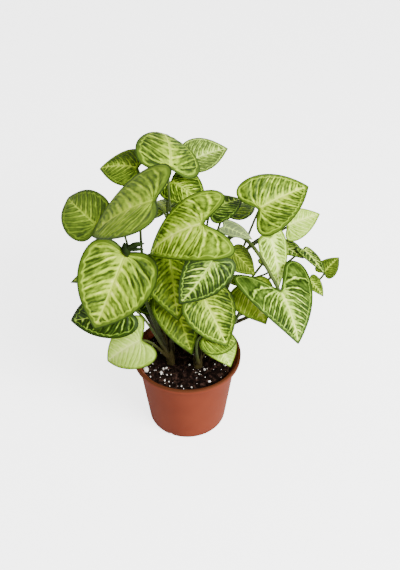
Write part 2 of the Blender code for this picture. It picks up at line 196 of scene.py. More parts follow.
def ramp(tree, factor, stops):
    """A colour ramp with the given stops, each a place and a colour."""
    made = add_node(tree, "ShaderNodeValToRGB", {"Fac": factor})
    elements = made.color_ramp.elements
    while len(elements) < len(stops):
        elements.new(0.5)
    for element, (place, colour) in zip(elements, stops):
        element.position = place
        element.color = (*colour, 1.0)
    return made.outputs["Color"]


def noise(tree, vector, scale, detail=3.0, roughness=0.55):
    """Smooth noise from 0 to 1, most of it near one half."""
    sockets = {"Vector": vector, "Scale": scale, "Detail": detail, "Roughness": roughness}
    return add_node(tree, "ShaderNodeTexNoise", sockets).outputs["Fac"]


def new_group(name, inputs, outputs):
    """An empty node group of numbers; returns its tree, its inputs and the sockets of its outputs."""
    tree = bpy.data.node_groups.new(name, "ShaderNodeTree")
    for label, value in inputs.items():
        socket = tree.interface.new_socket(label, in_out="INPUT", socket_type="NodeSocketFloat")
        socket.default_value = value
    for label in outputs:
        tree.interface.new_socket(label, in_out="OUTPUT", socket_type="NodeSocketFloat")
    source = tree.nodes.new("NodeGroupInput").outputs
    sink = tree.nodes.new("NodeGroupOutput").inputs
    return tree, source, sink


def place_group(tree, group, **sockets):
    """Put a node group into a material with its own values."""
    return add_node(tree, "ShaderNodeGroup", {k.replace("_", " "): v for k, v in sockets.items()},
                    node_tree=group).outputs


def new_material(name, roughness, specular=0.5):
    """A material with its shader; returns the material, its tree and the shader."""
    made = bpy.data.materials.new(name)
    made.use_nodes = True
    shader = made.node_tree.nodes["Principled BSDF"]
    shader.inputs["Roughness"].default_value = roughness
    shader.inputs["Specular IOR Level"].default_value = specular
    return made, made.node_tree, shader


def set_bump(tree, shader, height, distance, strength):
    """Raise the surface by a height from 0 to 1 times a distance in millimetres."""
    sockets = {"Height": height, "Distance": distance * MM, "Strength": strength}
    bump = add_node(tree, "ShaderNodeBump", sockets)
    tree.links.new(bump.outputs["Normal"], shader.inputs["Normal"])


def own_place(tree):
    """The point's own place on the object, in metres."""
    return add_node(tree, "ShaderNodeTexCoord").outputs["Object"]


def own_height(tree):
    """The point's height above the floor, in metres."""
    return add_node(tree, "ShaderNodeSeparateXYZ", {0: own_place(tree)}).outputs["Z"]


# %% [markdown]
# ## Grain
#
# Plastic, soil and plant tissue all carry a fine speckle. Each could have noise nodes of its own, but
# one group makes it for all of them, from the point's own place on the object, at two scales at once.

# %% Grain group
GRAIN_INPUTS = {"Scale": 400.0, "Coarse Scale": 40.0}
grain_tree, grain_in, grain_out = new_group("grain", GRAIN_INPUTS, ("Fine", "Coarse"))
place = own_place(grain_tree)
grain_tree.links.new(noise(grain_tree, place, grain_in["Scale"], 4.0, 0.6), grain_out["Fine"])
grain_tree.links.new(noise(grain_tree, place, grain_in["Coarse Scale"], 2.0, 0.5), grain_out["Coarse"])


def grainy_material(name, roughness, specular, scale, coarse_scale):
    """A material with the grain in it; returns the material, its tree, the shader and the grain."""
    made, tree, shader = new_material(name, roughness, specular)
    return made, tree, shader, place_group(tree, grain_tree, Scale=scale, Coarse_Scale=coarse_scale)


print("Grain group:", len(grain_tree.nodes), "nodes")

# %% [markdown]
# ## Pot
#
# A nursery pot is blown from one sheet of soft plastic. Its wall leans out a few degrees, opens at a
# shoulder and ends in a turned-down lip. The model's pot has the right sizes but 44 flat sides. It
# could be smoothed with a modifier, but that would melt its thin lip. So the same profile is turned
# again with rounded corners and 288 steps round the axis. The foot ring lifts at three notches, which
# let water out, and the drain holes are cut afterwards.

# %% Pot sizes
POT_COLUMNS = 288
RIM_RADIUS = 60.0
RIM_HEIGHT = 93.0
LIP_HEIGHT = 5.0
LIP_WALL = 1.2
LIP_DRAFT = 0.2
LIP_UNDERCUT = 0.8
MOUTH_RADIUS = 57.2
SHOULDER_RADIUS = 54.4
SHOULDER_HEIGHT = 87.0
FOOT_RADIUS = 43.0
WALL = 1.4
FOOT_RING_WIDTH = 2.8
FOOT_CURVE = 0.9
FLOOR_HEIGHT = 4.0
FLOOR_TOP = 5.4
LAND_RADIUS = 13.0
LAND_DRAFT = 0.8
NOTCHES = 3
NOTCH_WIDTH = 4.0
NOTCH_HEIGHT = 3.0
NOTCH_AZIMUTH = 4.5
NOTCH_EDGE = 1.4
DRAIN_HOLES = 8
DRAIN_RADIUS = 3.2
DRAIN_CIRCLE = 28.0
DRAIN_ROD = (3.0, 6.4)


def wall_radius(height):
    """Radius of the outer wall: a straight line from the foot to the shoulder."""
    return FOOT_RADIUS + (SHOULDER_RADIUS - FOOT_RADIUS) * height / SHOULDER_HEIGHT


def rounded(profile, steps=4):
    """Each corner of a profile, given as radius, height and rounding, becomes a short curve.

    The curve leaves the incoming edge and joins the outgoing one at the rounding's distance from the
    corner, and in between it is a quadratic Bezier pulled towards the corner.
    """
    corners = np.array([corner[:2] for corner in profile], float)
    parts = [corners[:1]]
    share = np.linspace(0, 1, steps)[:, None]
    roundings = [corner[2] for corner in profile[1:]]
    for before, corner, after, rounding in zip(corners, corners[1:], corners[2:], roundings):
        start = corner + (before - corner) * rounding / np.linalg.norm(before - corner)
        end = corner + (after - corner) * rounding / np.linalg.norm(after - corner)
        curve = (1 - share) ** 2 * start + 2 * share * (1 - share) * corner + share ** 2 * end
        parts.append(curve)
    parts.append(corners[-1:])
    return np.concatenate(parts)


def turned(profile, columns):
    """A profile carried round the axis: (radius, height) becomes a ring of points for each row."""
    angle = np.arange(columns) * math.tau / columns
    radius, height = profile[:, 0, None], profile[:, 1, None]
    rings = [radius * np.cos(angle), radius * np.sin(angle), height + 0 * angle]
    return np.stack(np.broadcast_arrays(*rings), -1)


def closed_rings(rings):
    """Points and faces of a stack of rings whose first and last rings shrink to one point each."""
    rows, columns, _ = rings.shape
    body = rings[1:-1].reshape(-1, 3)
    points = np.concatenate([body, rings[0, :1], rings[-1, :1]])
    top, bottom = len(body), len(body) + 1
    last = (rows - 3) * columns
    fans = fan_faces(top, 0, columns, True), fan_faces(bottom, last, columns)
    return points, [grid_faces(rows - 2, columns), *fans]


# %% [markdown]
# The plastic is a matt red brown and a little duller near the ground. Along the lip it is painted
# darker: painted shade, where the leaves above shade the lip. A picture could be wrapped round the pot
# for that. Two soft steps over the height and some coarse noise say the same in a few nodes, and they
# stay sharp from close up.

# %% Pot finish
RIM_SHADE = (89.5 * MM, 92.2 * MM)
FOOT_SHADE = (16.0 * MM, 4.0 * MM)
pot_finish, tree, shader, grain = grainy_material("pot_plastic", 0.5, 0.04, 900.0, 22.0)
height = own_height(tree)
clay = ramp(tree, grain["Coarse"], ((0.30, (0.140, 0.027, 0.012)), (0.70, (0.175, 0.036, 0.016))))
# Painted shade: the clay is painted darker at the top of the lip, where the leaves above shade it.
painted_rim_shade = step(tree, height, *RIM_SHADE)
clay = blend(tree, calc(tree, "MULTIPLY", painted_rim_shade, 0.8), clay, (0.062, 0.021, 0.007))
ragged_height = calc(tree, "ADD", height, calc(tree, "MULTIPLY", grain["Coarse"], 12.0 * MM))
near_foot = step(tree, ragged_height, *FOOT_SHADE)
clay = blend(tree, calc(tree, "MULTIPLY", near_foot, 0.35), clay, (0.085, 0.024, 0.012))
tree.links.new(clay, shader.inputs["Base Color"])
tree.links.new(calc(tree, "MULTIPLY_ADD", grain["Coarse"], 0.18, 0.42), shader.inputs["Roughness"])
set_bump(tree, shader, grain["Fine"], 0.05, 0.35)
print("Pot finish:", len(tree.nodes), "nodes")

# %% [markdown]
# The profile runs from the middle of the floor up the inside of the wall, over the lip, down the outside
# and back to the middle under the foot. Each corner is given with its own rounding. Once the profile is
# turned, the points of the foot ring are lifted wherever a notch is.

# %% Pot wall
lip_foot = RIM_HEIGHT - LIP_HEIGHT
lip_inside = RIM_RADIUS - LIP_WALL
foot_inside = FOOT_RADIUS - FOOT_RING_WIDTH
pot_profile = rounded((
    (0, FLOOR_TOP, 0),
    (wall_radius(FLOOR_TOP) - WALL, FLOOR_TOP, 1.2),
    (SHOULDER_RADIUS - WALL, SHOULDER_HEIGHT, 0.8),
    (MOUTH_RADIUS, RIM_HEIGHT, 0.5),
    (RIM_RADIUS, RIM_HEIGHT, 0.7),
    (RIM_RADIUS - LIP_DRAFT, lip_foot, 0.35),
    (lip_inside, lip_foot, 0.35),
    (lip_inside, RIM_HEIGHT - LIP_WALL, 0.2),
    (lip_inside - LIP_UNDERCUT, RIM_HEIGHT - LIP_WALL, 0.2),
    (SHOULDER_RADIUS, SHOULDER_HEIGHT, 1.0),
    (wall_radius(60.0), 60.0, 1.0),
    (wall_radius(30.0), 30.0, 1.0),
    (wall_radius(8.0), 8.0, 1.0),
    (wall_radius(2.0), 2.0, 0.9),
    (FOOT_RADIUS - FOOT_CURVE, 0.0, 0.6),
    (foot_inside, 0.0, 0.5),
    (foot_inside, FLOOR_HEIGHT, 0.5),
    (LAND_RADIUS + LAND_DRAFT, FLOOR_HEIGHT, 0.5),
    (LAND_RADIUS, 0.0, 0.5),
    (0, 0, 0),
))
rings = turned(pot_profile, POT_COLUMNS)
azimuth = np.degrees(np.arctan2(rings[..., 1], rings[..., 0])) - NOTCH_AZIMUTH
from_notch = np.abs((azimuth + 180 / NOTCHES) % (360 / NOTCHES) - 180 / NOTCHES)
half_notch = math.degrees(NOTCH_WIDTH / 2 / FOOT_RADIUS)
in_notch = np.clip((half_notch + NOTCH_EDGE / 2 - from_notch) / NOTCH_EDGE, 0, 1)
on_foot = np.hypot(rings[..., 0], rings[..., 1]) > foot_inside - 1.0
lifted = np.maximum(rings[..., 2], NOTCH_HEIGHT * in_notch)
rings[..., 2] = np.where(on_foot & (rings[..., 2] < NOTCH_HEIGHT), lifted, rings[..., 2])
pot_points, pot_faces = closed_rings(rings)
pot = add_piece("pot_wall", pot_points, pot_faces, pot_finish, "pot", ("pot",), sharp=40)
pot_outside = round(outside_node(pot_points, "pot"), 2)
print("Pot wall:", len(pot_points), "points, out of its node by", pot_outside, "mm")

# %% [markdown]
# The drain holes go through the raised floor. They could be left out of the grid of the floor, but
# round holes don't fit a grid of rings. So a Boolean takes eight short rods out of the pot at once,
# and the rods are removed afterwards.

# %% Drain holes
def rod(turn, columns=32):
    """Points and faces of the upright closed rod that stands at one turn round the drain circle."""
    low, high = DRAIN_ROD
    outline = np.array([(0, high), (DRAIN_RADIUS, high), (DRAIN_RADIUS, low), (0, low)], float)
    centre = np.array([DRAIN_CIRCLE * math.cos(turn), DRAIN_CIRCLE * math.sin(turn), 0.0])
    return closed_rings(turned(outline, columns) + centre)


hole_turns = [hole * math.tau / DRAIN_HOLES for hole in range(DRAIN_HOLES)]
rod_points, rod_faces = joined(map(rod, hole_turns))
rods_mesh = bpy.data.meshes.new("drain_rods")
rods_mesh.from_pydata(rod_points * MM, [], [face for array in rod_faces for face in array.tolist()])
rods = bpy.data.objects.new("drain_rods", rods_mesh)
bpy.context.scene.collection.objects.link(rods)
cut = pot.modifiers.new("drain_holes", "BOOLEAN")
cut.operation = "DIFFERENCE"
cut.object = rods
cut_mesh = bpy.data.meshes.new_from_object(pot.evaluated_get(bpy.context.evaluated_depsgraph_get()))
pot.modifiers.remove(cut)
pot.data = cut_mesh
bpy.data.objects.remove(rods)
print("Pot wall after its drain holes:", len(pot.data.polygons), "faces")

# %% [markdown]
# ## Soil
#
# Potting soil is dark, damp peat with white grains of perlite. A bumpy material alone would look flat
# from the side, so its surface is a disc that really waves at several scales, worked out as a sum of
# plane waves in random directions. Loose crumbs and perlite grains lie on it: each is one small lump
# of 28 faces, turned, stretched and dented anew.

# %% Soil sizes
SOIL_EDGE_HEIGHT = 83.5
SOIL_MOUND = 2.5
SOIL_GAP = 0.3
SOIL_RINGS = 55
SOIL_COLUMNS = 180
WAVE_SCALE = 1.5
WAVE_LENGTHS = (2.0, 30.0)
WAVE_CALM = 0.6
soil_edge = wall_radius(SOIL_EDGE_HEIGHT) - WALL - SOIL_GAP


def waves(x, y, seed, shortest, longest, count=24):
    """A rough surface: the sum of plane waves in random directions, the longer ones higher."""
    draw = np.random.default_rng(seed)
    lengths = np.geomspace(shortest, longest, count)
    total = np.zeros_like(x)
    for length in lengths:
        turn, shift = draw.uniform(0, math.tau, 2)
        across = x * math.cos(turn) + y * math.sin(turn)
        total += length / longest * np.sin(math.tau * across / length + shift)
    return total / math.sqrt(count)


def soil_height(x, y):
    """Height of the soil: a gentle mound with waves from 2 to 30 mm long, calm at the wall."""
    share = np.clip(np.hypot(x, y) / soil_edge, 0, 1)
    rough = WAVE_SCALE * waves(x, y, 5, *WAVE_LENGTHS) * (1 - WAVE_CALM * share ** 6)
    return SOIL_EDGE_HEIGHT + SOIL_MOUND * np.cos(math.pi / 2 * share) + rough


# %% [markdown]
# Damp peat is nearly black with a few lighter fibres, and perlite is chalky white. One flat colour each
# would look like plastic. So the grain chooses a colour from a ramp, and the same grain raises the
# surface a little, which makes pale spots stand proud as they do in real soil.

# %% Soil finish
soil_finish, tree, shader, grain = grainy_material("soil", 0.9, 0.06, 620.0, 210.0)
mixed = calc(tree, "MULTIPLY_ADD", grain["Coarse"], 0.6, calc(tree, "MULTIPLY", grain["Fine"], 0.4))
peat = ramp(tree, mixed, ((0.38, (0.0015, 0.0006, 0.0005)), (0.52, (0.007, 0.003, 0.002)),
                          (0.66, (0.060, 0.030, 0.022))))
tree.links.new(peat, shader.inputs["Base Color"])
set_bump(tree, shader, mixed, 0.8, 0.8)

perlite_finish, tree, shader, grain = grainy_material("perlite", 0.85, 0.3, 900.0, 200.0)
chalk = ramp(tree, grain["Coarse"], ((0.3, (0.50, 0.44, 0.38)), (0.62, (0.86, 0.83, 0.78))))
tree.links.new(chalk, shader.inputs["Base Color"])
set_bump(tree, shader, grain["Fine"], 0.25, 0.8)
print("Soil finishes: peat and perlite")

# %% [markdown]
# The waving disc is the top of one closed piece. Below it, a plain wall and a plain floor keep a small
# gap from the pot all round, because two surfaces in one place would flicker.

# %% Soil surface
share = np.linspace(0, 1, SOIL_RINGS + 1)[1:]
angle = np.arange(SOIL_COLUMNS) * math.tau / SOIL_COLUMNS
ground_x = soil_edge * share[:, None] * np.cos(angle)
ground_y = soil_edge * share[:, None] * np.sin(angle)
ground = np.stack([ground_x, ground_y, soil_height(ground_x, ground_y)], -1)
top = np.array([[[0.0, 0.0, soil_height(np.zeros(1), np.zeros(1))[0]]]]) + 0 * ground[:1]
foot_height = FLOOR_TOP + SOIL_GAP
foot_radius = wall_radius(foot_height) - WALL - SOIL_GAP
foot = turned(np.array([(foot_radius, foot_height), (0.0, foot_height)]), SOIL_COLUMNS)
soil_points, soil_faces = closed_rings(np.concatenate([top, ground, foot]))
soil_faces = [array[:, ::-1] for array in soil_faces]
add_piece("potting_soil", soil_points, soil_faces, soil_finish, "soil", ("soil",), sharp=60)
print("Soil surface:", len(soil_points), "points")

# %% [markdown]
# A lump is a ball on a small grid: 7 points round and 3 rings high, with a point at each end. A
# particle system could scatter copies of one lump, but then they would all look alike. So all lumps of
# one kind are worked out together as one array, each dented anew, and become one piece.

# %% Lumps
LUMP_COLUMNS = 7
LUMP_RINGS = 3
WALL_CLEARANCE = 1.5
# The least and the most share of a ball's radius at each point, and of its size along each axis
LUMP_DENTS = (0.72, 1.15)
LUMP_STRETCH = (0.65, 1.2)


def lumps(places, sizes, seed, flat=0.75):
    """Points and faces of many dented balls, each turned at random and flattened a little."""
    draw = np.random.default_rng(seed)
    count = len(places)
    tilt = np.linspace(0, math.pi, LUMP_RINGS + 2)[1:-1, None]
    angle = np.arange(LUMP_COLUMNS) * math.tau / LUMP_COLUMNS
    ball = [np.sin(tilt) * np.cos(angle), np.sin(tilt) * np.sin(angle), np.cos(tilt)]
    ball = np.stack(np.broadcast_arrays(*ball), -1)
    ball = np.concatenate([ball.reshape(-1, 3), [[0, 0, 1], [0, 0, -1]]])
    body = ball * draw.uniform(*LUMP_DENTS, (count, len(ball), 1))
    body = body * draw.uniform(*LUMP_STRETCH, (count, 1, 3))
    turns, _ = np.linalg.qr(draw.normal(size=(count, 3, 3)))
    turns *= np.sign(np.linalg.det(turns))[:, None, None]
    body = np.einsum("nij,nkj->nki", turns, body) * np.array([1, 1, flat]) * sizes[:, None, None]
    points = (body + places[:, None]).reshape(-1, 3)
    shift = np.arange(count)[:, None, None] * len(ball)
    rings = LUMP_COLUMNS * LUMP_RINGS
    sides = grid_faces(LUMP_RINGS, LUMP_COLUMNS)[:, ::-1]
    caps = np.concatenate([fan_faces(rings, 0, LUMP_COLUMNS),
                           fan_faces(rings + 1, rings - LUMP_COLUMNS, LUMP_COLUMNS, True)])
    return points, [(sides + shift).reshape(-1, 4), (caps + shift).reshape(-1, 3)]


def clustered(clusters, seed):
    """Random places round a few spots on the soil, each spot a place, a spread and a count."""
    draw = np.random.default_rng(seed)
    flat = [draw.normal((x, y), spread, (count, 2)) for x, y, spread, count in clusters]
    x, y = np.concatenate(flat).T
    inside = np.hypot(x, y) < soil_edge - WALL_CLEARANCE
    x, y = x[inside], y[inside]
    return np.stack([x, y, soil_height(x, y)], -1)


def scattered(count, seed, inner, outer):
    """Random places on the soil between two radii, as even as rain."""
    draw = np.random.default_rng(seed)
    radius = np.sqrt(draw.uniform(inner ** 2, outer ** 2, count))
    turn = draw.uniform(0, math.tau, count)
    x, y = radius * np.cos(turn), radius * np.sin(turn)
    return np.stack([x, y, soil_height(x, y)], -1)


# %% [markdown]
# Crumbs lie all over the soil. Perlite lies in a few spots where it was stirred in, with some loose
# grains between them and one big grain at the left.

# %% Crumbs and perlite
# The sizes of crumbs and grains are radii
CRUMBS = 1500
CRUMB_SIZES = (0.35, 2.6)
LOOSE_GRAINS = 44
GRAIN_SIZES = (0.3, 1.7)
GRAIN_LIFT = 0.3
BIG_GRAIN = (-45.0, -20.0, 85.0)
BIG_GRAIN_SIZE = 3.4
# Each spot of perlite: its place, its spread and its count
PERLITE_SPOTS = ((-30, -24, 7, 22), (-44, -8, 5, 8), (14, -22, 4, 12), (6, 18, 6, 8), (38, -14, 6, 8),
                 (-6, -47, 4, 5), (-20, 36, 9, 8), (28, 34, 8, 8))
draw = np.random.default_rng(11)
crumb_places = scattered(CRUMBS, 12, 0.0, soil_edge - WALL_CLEARANCE)
crumb_sizes = draw.gamma(3.0, 0.28, CRUMBS).clip(*CRUMB_SIZES)
points, faces = lumps(crumb_places, crumb_sizes, 13)
add_piece("soil_crumbs", points, faces, soil_finish, "soil")
loose_places = scattered(LOOSE_GRAINS, 14, 4.0, soil_edge - WALL_CLEARANCE)
perlite_places = np.concatenate([loose_places, clustered(PERLITE_SPOTS, 16)])
perlite_sizes = draw.gamma(3.0, 0.24, len(perlite_places)).clip(*GRAIN_SIZES)
perlite_places = np.concatenate([perlite_places, [BIG_GRAIN]])
perlite_sizes = np.append(perlite_sizes, BIG_GRAIN_SIZE)
perlite_places[:, 2] += GRAIN_LIFT * perlite_sizes
points, faces = lumps(perlite_places, perlite_sizes, 15, 0.9)
add_piece("perlite_grains", points, faces, perlite_finish)
print("Crumbs:", len(crumb_places), "perlite grains:", len(perlite_places))

# %% [markdown]
# ## Leaves: where they are
#
# The leaves could be scattered by a rule, but the real plant's are each in a place of their own. So
# this table repeats the model's: each leaf's stalk end, the heading, pitch and roll of the line from
# there to its tip, its length and width, and how it is bent. The last values say how its stalk sets
# out from the shoot and how it bends into the leaf.

# %% Leaf table
class Leaf(NamedTuple):
    """One leaf and its stalk."""
    name: str
    shoot: str
    base: tuple              # where the stalk meets the blade
    turn: tuple              # heading, pitch and roll in degrees
    size: tuple              # length and width
    lobes: float             # how far the back lobes reach, in leaf lengths
    arch: float              # how far the midrib bends down from end to end, in degrees
    fold: float              # how far each half is folded up, in degrees
    rise: tuple              # the way in which the stalk sets out
    reach: float             # how far ahead the stalk bends into the blade
    arrival: float = 0.6     # the share of the stalk's last direction that lies along the midrib


LEAVES = (
    Leaf("top", "back", (-16, 69, 292), (100, -7, 22), (92, 74), 0.36, 60, -7, (-6, -18, 160), 22),
    Leaf("high_left", "back", (-29, 6, 299), (158, -42, -13), (104, 100), 0.46, 32, 12, (-6, -6, 154), 14),
    Leaf("far_left", "left", (-95, 54, 229), (124, -3, -36), (68, 57), 0.40, 43, 18, (-28, 16, 58), 14),
    Leaf("top_left", "left", (-51, 92, 278), (162, -14, -14), (48, 54), 0.40, 42, 2, (-40, 30, 108), 20),
    Leaf("top_right", "back", (4, 122, 266), (24, 5, 12), (46, 50), 0.40, 29, 15, (6, 38, 78), 14),
    Leaf("centre", "middle", (19, -14, 285), (175, -39, -21), (76, 87), 0.74, 60, 0, (14, -12, 120), 28),
    Leaf("right", "back_right", (74, 30, 269), (29, 7, 29), (64, 66), 0.54, 44, 14, (16, 0, 58), 8),
    Leaf("front_left", "front_left", (-61, -2, 239), (209, -65, -52), (101, 82), 0.39, 38, 13,
         (-42, 30, 102), 14),
    Leaf("low_left", "front_left", (-63, -14, 172), (170, -24, -66), (71, 56), 0.45, 45, 18,
         (-14, -12, 42), 24),
    Leaf("pale_low_left", "front_left", (-47, -30, 141), (167, -45, -48), (59, 57), 0.54, 42, 9,
         (-10, -8, 16), 14),
    Leaf("inner_front", "middle", (-17, 24, 212), (-81, -37, 14), (71, 68), 0.42, 25, 10, (-20, 12, 98), 8),
    Leaf("front", "middle", (29, -20, 244), (200, -52, -66), (64, 52), 0.50, 50, 11, (28, -8, 118), 14),
    Leaf("low_front", "front", (18, -25, 198), (-43, -55, 32), (61, 55), 0.43, 31, 14, (14, 12, 72), 14),
    Leaf("over_soil", "front_left", (-13, -2, 173), (-64, -45, 22), (62, 52), 0.53, 26, 11, (2, 18, 44), 14),
    Leaf("low_right", "front", (16, -41, 158), (21, -31, 28), (48, 46), 0.40, 29, 14, (2, -40, 36), 14),
    Leaf("pale_low_right", "front", (29, -14, 128), (-60, -19, -6), (39, 44), 0.40, 27, 10, (6, 0, 12), 4),
    Leaf("front_right", "back_right", (97, -24, 206), (-65, -42, -15), (60, 91), 0.93, 37, 6,
         (6, 22, 247), 14, 0.94),
    Leaf("under_right", "right", (63, -6, 199), (-64, -25, 24), (50, 48), 0.35, 24, 6, (38, -14, 82), 22),
    Leaf("folded_pale", "back_right", (88, 24, 239), (-64, -68, -18), (60, 40), 0.42, 25, 4,
         (22, 10, 114), 14),
    Leaf("pale_far_right", "back_right", (108, 60, 224), (29, 1, 24), (43, 40), 0.54, 26, 6,
         (8, 10, 128), 26),
    Leaf("narrow_right", "back_right", (97, 51, 208), (-46, 2, -5), (40, 31), 0.40, 20, 4, (26, 6, 42), 14),
    Leaf("small_right", "back_right", (125, 40, 209), (-56, -14, -26), (40, 28), 0.42, 18, 4,
         (18, 0, 20), 14),
    Leaf("tiny_right", "back_right", (148, 30, 183), (46, 15, 4), (27, 25), 0.46, 23, 10, (68, -2, 38), 18),
    Leaf("tiny_low_right", "back_right", (132, 22, 182), (-50, -25, 0), (25, 20), 0.45, 20, 8,
         (32, 0, 28), 14),
    Leaf("behind_centre", "middle", (24, 40, 259), (40, -8, 0), (48, 50), 0.56, 25, 8, (8, 6, 60), 14),
    Leaf("young_pale", "back_right", (38, 12, 261), (-24, -12, 12), (34, 20), 0.40, 24, 10, (6, -10, 76), 14),
    Leaf("inner_right", "middle", (47, 8, 232), (-31, -37, -9), (36, 44), 0.35, 20, 2, (24, 0, 82), 14),
    Leaf("inner_left", "back", (-17, 85, 266), (-32, -20, 10), (48, 50), 0.38, 30, 6, (-20, 30, 144), 14),
    Leaf("inner_low_left", "left", (-27, 24, 153), (178, -10, -42), (42, 42), 0.45, 25, 10, (0, 4, 18), 14),
    Leaf("back_left", "left", (-74, 84, 214), (146, -25, 0), (64, 58), 0.55, 30, 10, (-32, 26, 58), 18),
    Leaf("back", "back", (-21, 82, 226), (105, -25, 0), (66, 56), 0.55, 30, 10, (-6, 16, 50), 14),
    Leaf("back_right", "back", (40, 84, 226), (60, -25, 0), (66, 60), 0.55, 30, 10, (22, 18, 58), 8),
    Leaf("back_far_right", "back_right", (95, 87, 141), (25, -25, 0), (50, 42), 0.55, 30, 10,
         (30, 24, 78), 22),
    Leaf("left_low", "left", (-76, 50, 168), (172, -22, 0), (60, 52), 0.55, 30, 10, (-20, 12, 30), 8),
    Leaf("back_low_left", "back", (-34, 72, 158), (120, -30, 0), (58, 52), 0.55, 30, 10, (-10, 12, 24), 8),
    Leaf("back_low", "back_right", (32, 76, 166), (68, -30, 0), (58, 50), 0.55, 30, 10, (4, 24, 38), 14),
    Leaf("back_low_right", "back_right", (62, 62, 134), (35, -25, 0), (50, 46), 0.55, 30, 10,
         (10, 10, 14), 20),
)

# %% [markdown]
# ## Leaves: their form
#
# An arrowhead blade is a heart with two back lobes. Its outline is a formula with one parameter, the
# turn, which runs from 0 at the tip to a half circle at the notch. Scaling the outline towards the
# hub, where the stalk ends, fills the blade with rings. The flat blade is then folded along its
# midrib, drooped at its sides and bent into an arc. All of this is what the model does too, so the
# fine blade lies where the plain one was.

# %% Blade form
HUB = 0.04
SHOULDER = 0.45
TIP_TAPER = 0.65
TIP_POINT = 0.06
TIP_SPAN = 0.3
LOBE_TAPER = 0.45
DROOP = 0.10


def outline(turns, half_width, lobes):
    """Heart outline in leaf lengths. Across is a sine raised to a power that grows towards tip and lobes.
    Along is a squared cosine of half the turn plus a narrow bell curve for the tip, less a squared sine."""
    away = np.abs(turns)
    power = 1 + TIP_TAPER * (1 + np.cos(away)) / 2 + LOBE_TAPER * (1 - np.cos(away)) / 2
    sine = np.clip(np.sin(away), 0, 1)
    across = half_width * sine ** power * (1 + SHOULDER * np.cos(away)) * np.sign(turns)
    along = (1 - TIP_POINT) * np.cos(away / 2) ** 2 + TIP_POINT * np.exp(-(away / TIP_SPAN) ** 2)
    return across, along - lobes * sine ** 2


def leaf_outline(leaf, turns):
    """The outline of one leaf in millimetres, with its widest place as wide as the leaf."""
    length, width = leaf.size
    widest = outline(np.linspace(0, math.pi, 400), 1.0, leaf.lobes)[0].max()
    across, along = outline(turns, width / length / 2 / widest, leaf.lobes)
    return across * length, along * length


def bent(leaf, side, forward, raised):
    """Fold, droop and arch: a flat point, raised by some height, becomes a point in the blade's own frame."""
    length, width = leaf.size
    lift = raised + np.abs(side) * math.sin(math.radians(leaf.fold)) - DROOP * side ** 2 / (width / 2)
    bend = math.radians(leaf.arch) / length
    angle = bend * forward
    along_arc = np.sin(angle) / bend + lift * np.sin(angle)
    return np.stack([side, along_arc, lift * np.cos(angle) - (1 - np.cos(angle)) / bend], -1)


def blade_axes(leaf):
    """Rows: the blade's right side, its midrib's direction at the stalk, and its upper face's direction."""
    heading, pitch, roll = np.radians(leaf.turn)
    level_heading = np.array([math.cos(heading), math.sin(heading), 0.0])
    up = np.array([0.0, 0.0, 1.0])
    forward = level_heading * math.cos(pitch) + up * math.sin(pitch)
    upright = up * math.cos(pitch) - level_heading * math.sin(pitch)
    face = upright * math.cos(roll) + np.cross(forward, upright) * math.sin(roll)
    half_arch = math.radians(leaf.arch / 2)
    return np.array([np.cross(forward, face),
                     forward * math.cos(half_arch) + face * math.sin(half_arch),
                     face * math.cos(half_arch) - forward * math.sin(half_arch)])


def placed(leaf, points):
    """Points of the blade's own frame set in the plant."""
    return points @ blade_axes(leaf) + np.array(leaf.base)


def even_turns(leaf, spacing):
    """Turns that divide each half of the outline into equal lengths of about the given spacing."""
    dense = np.linspace(0, math.pi, 2000)
    x, y = leaf_outline(leaf, dense)
    walked = np.concatenate([[0], np.cumsum(np.hypot(np.diff(x), np.diff(y)))])
    count = max(16, round(walked[-1] / spacing))
    half = np.interp(np.linspace(0, walked[-1], count + 1), walked, dense)
    return np.concatenate([half, -half[-2:0:-1]])


# %% [markdown]
# ## Leaves: their veins
#
# Side veins leave the midrib at an even step, run outwards at about sixty-five degrees to it, and bend
# towards the tip. Behind the hub they spread like rays into the lobes. One number says all of that:
# the vein phase, which is a whole number on every vein. It is smooth over the blade, so the mesh
# can carry it from point to point, and the material can find the nearest vein from its remainder.

# %% Vein field
VEIN_STEP = 14.0
VEIN_SLOPE = 0.46
VEIN_CURVE = 0.72
VEIN_BEND = 50.0
RAY_STEP = 23.0
WIDEST_RAY = 2.2
HUNDRED = 100.0


def vein_field(leaf, side, forward):
    """Vein phase and the width of one phase, in hundredths of the leaf's length.

    Ahead of the hub the phase is the place where the vein through this point left the midrib, divided
    by the step between veins. Behind it, it is the angle about the hub, divided by the step between rays.
    """
    length = leaf.size[0]
    across = np.abs(side) / length * HUNDRED
    ahead = (forward / length - HUB) * HUNDRED - VEIN_CURVE * across ** 2 / VEIN_BEND
    root = ahead - VEIN_SLOPE * across
    first_ray = math.degrees(math.atan2(1, VEIN_SLOPE))
    ray = first_ray - np.degrees(np.arctan2(across, ahead))
    phase = np.where(root > 0, root / VEIN_STEP, ray / RAY_STEP)
    front_width = VEIN_STEP * math.sin(math.radians(first_ray))
    ray_width = np.hypot(across, ahead) * math.radians(RAY_STEP)
    return phase, np.where(root > 0, front_width, np.minimum(ray_width, WIDEST_RAY * front_width))


def margin_distance(leaf, side, forward):
    """Distance from each flat point to the outline, in hundredths of the leaf's length."""
    edge_x, edge_y = leaf_outline(leaf, np.linspace(-math.pi, math.pi, 600))
    gaps = np.hypot(side[:, None] - edge_x, forward[:, None] - edge_y)
    return gaps.min(1) / leaf.size[0] * HUNDRED


# %% [markdown]
# ## Leaves: their relief
#
# On a real blade the tissue between the side veins swells upwards, the midrib lies in a crease, and
# the margin waves a little. On the underside the midrib stands out as a rib. A bump in the material
# could suggest all that, but only from the front. These are heights in millimetres added to the bent
# surface, so they show in the mesh and along the margin too.

# %% Blade relief
PUCKER = 0.006
CREASE_DEPTH = 0.010
CREASE_WIDTH = 2.2
WAVE_HEIGHT = 0.012


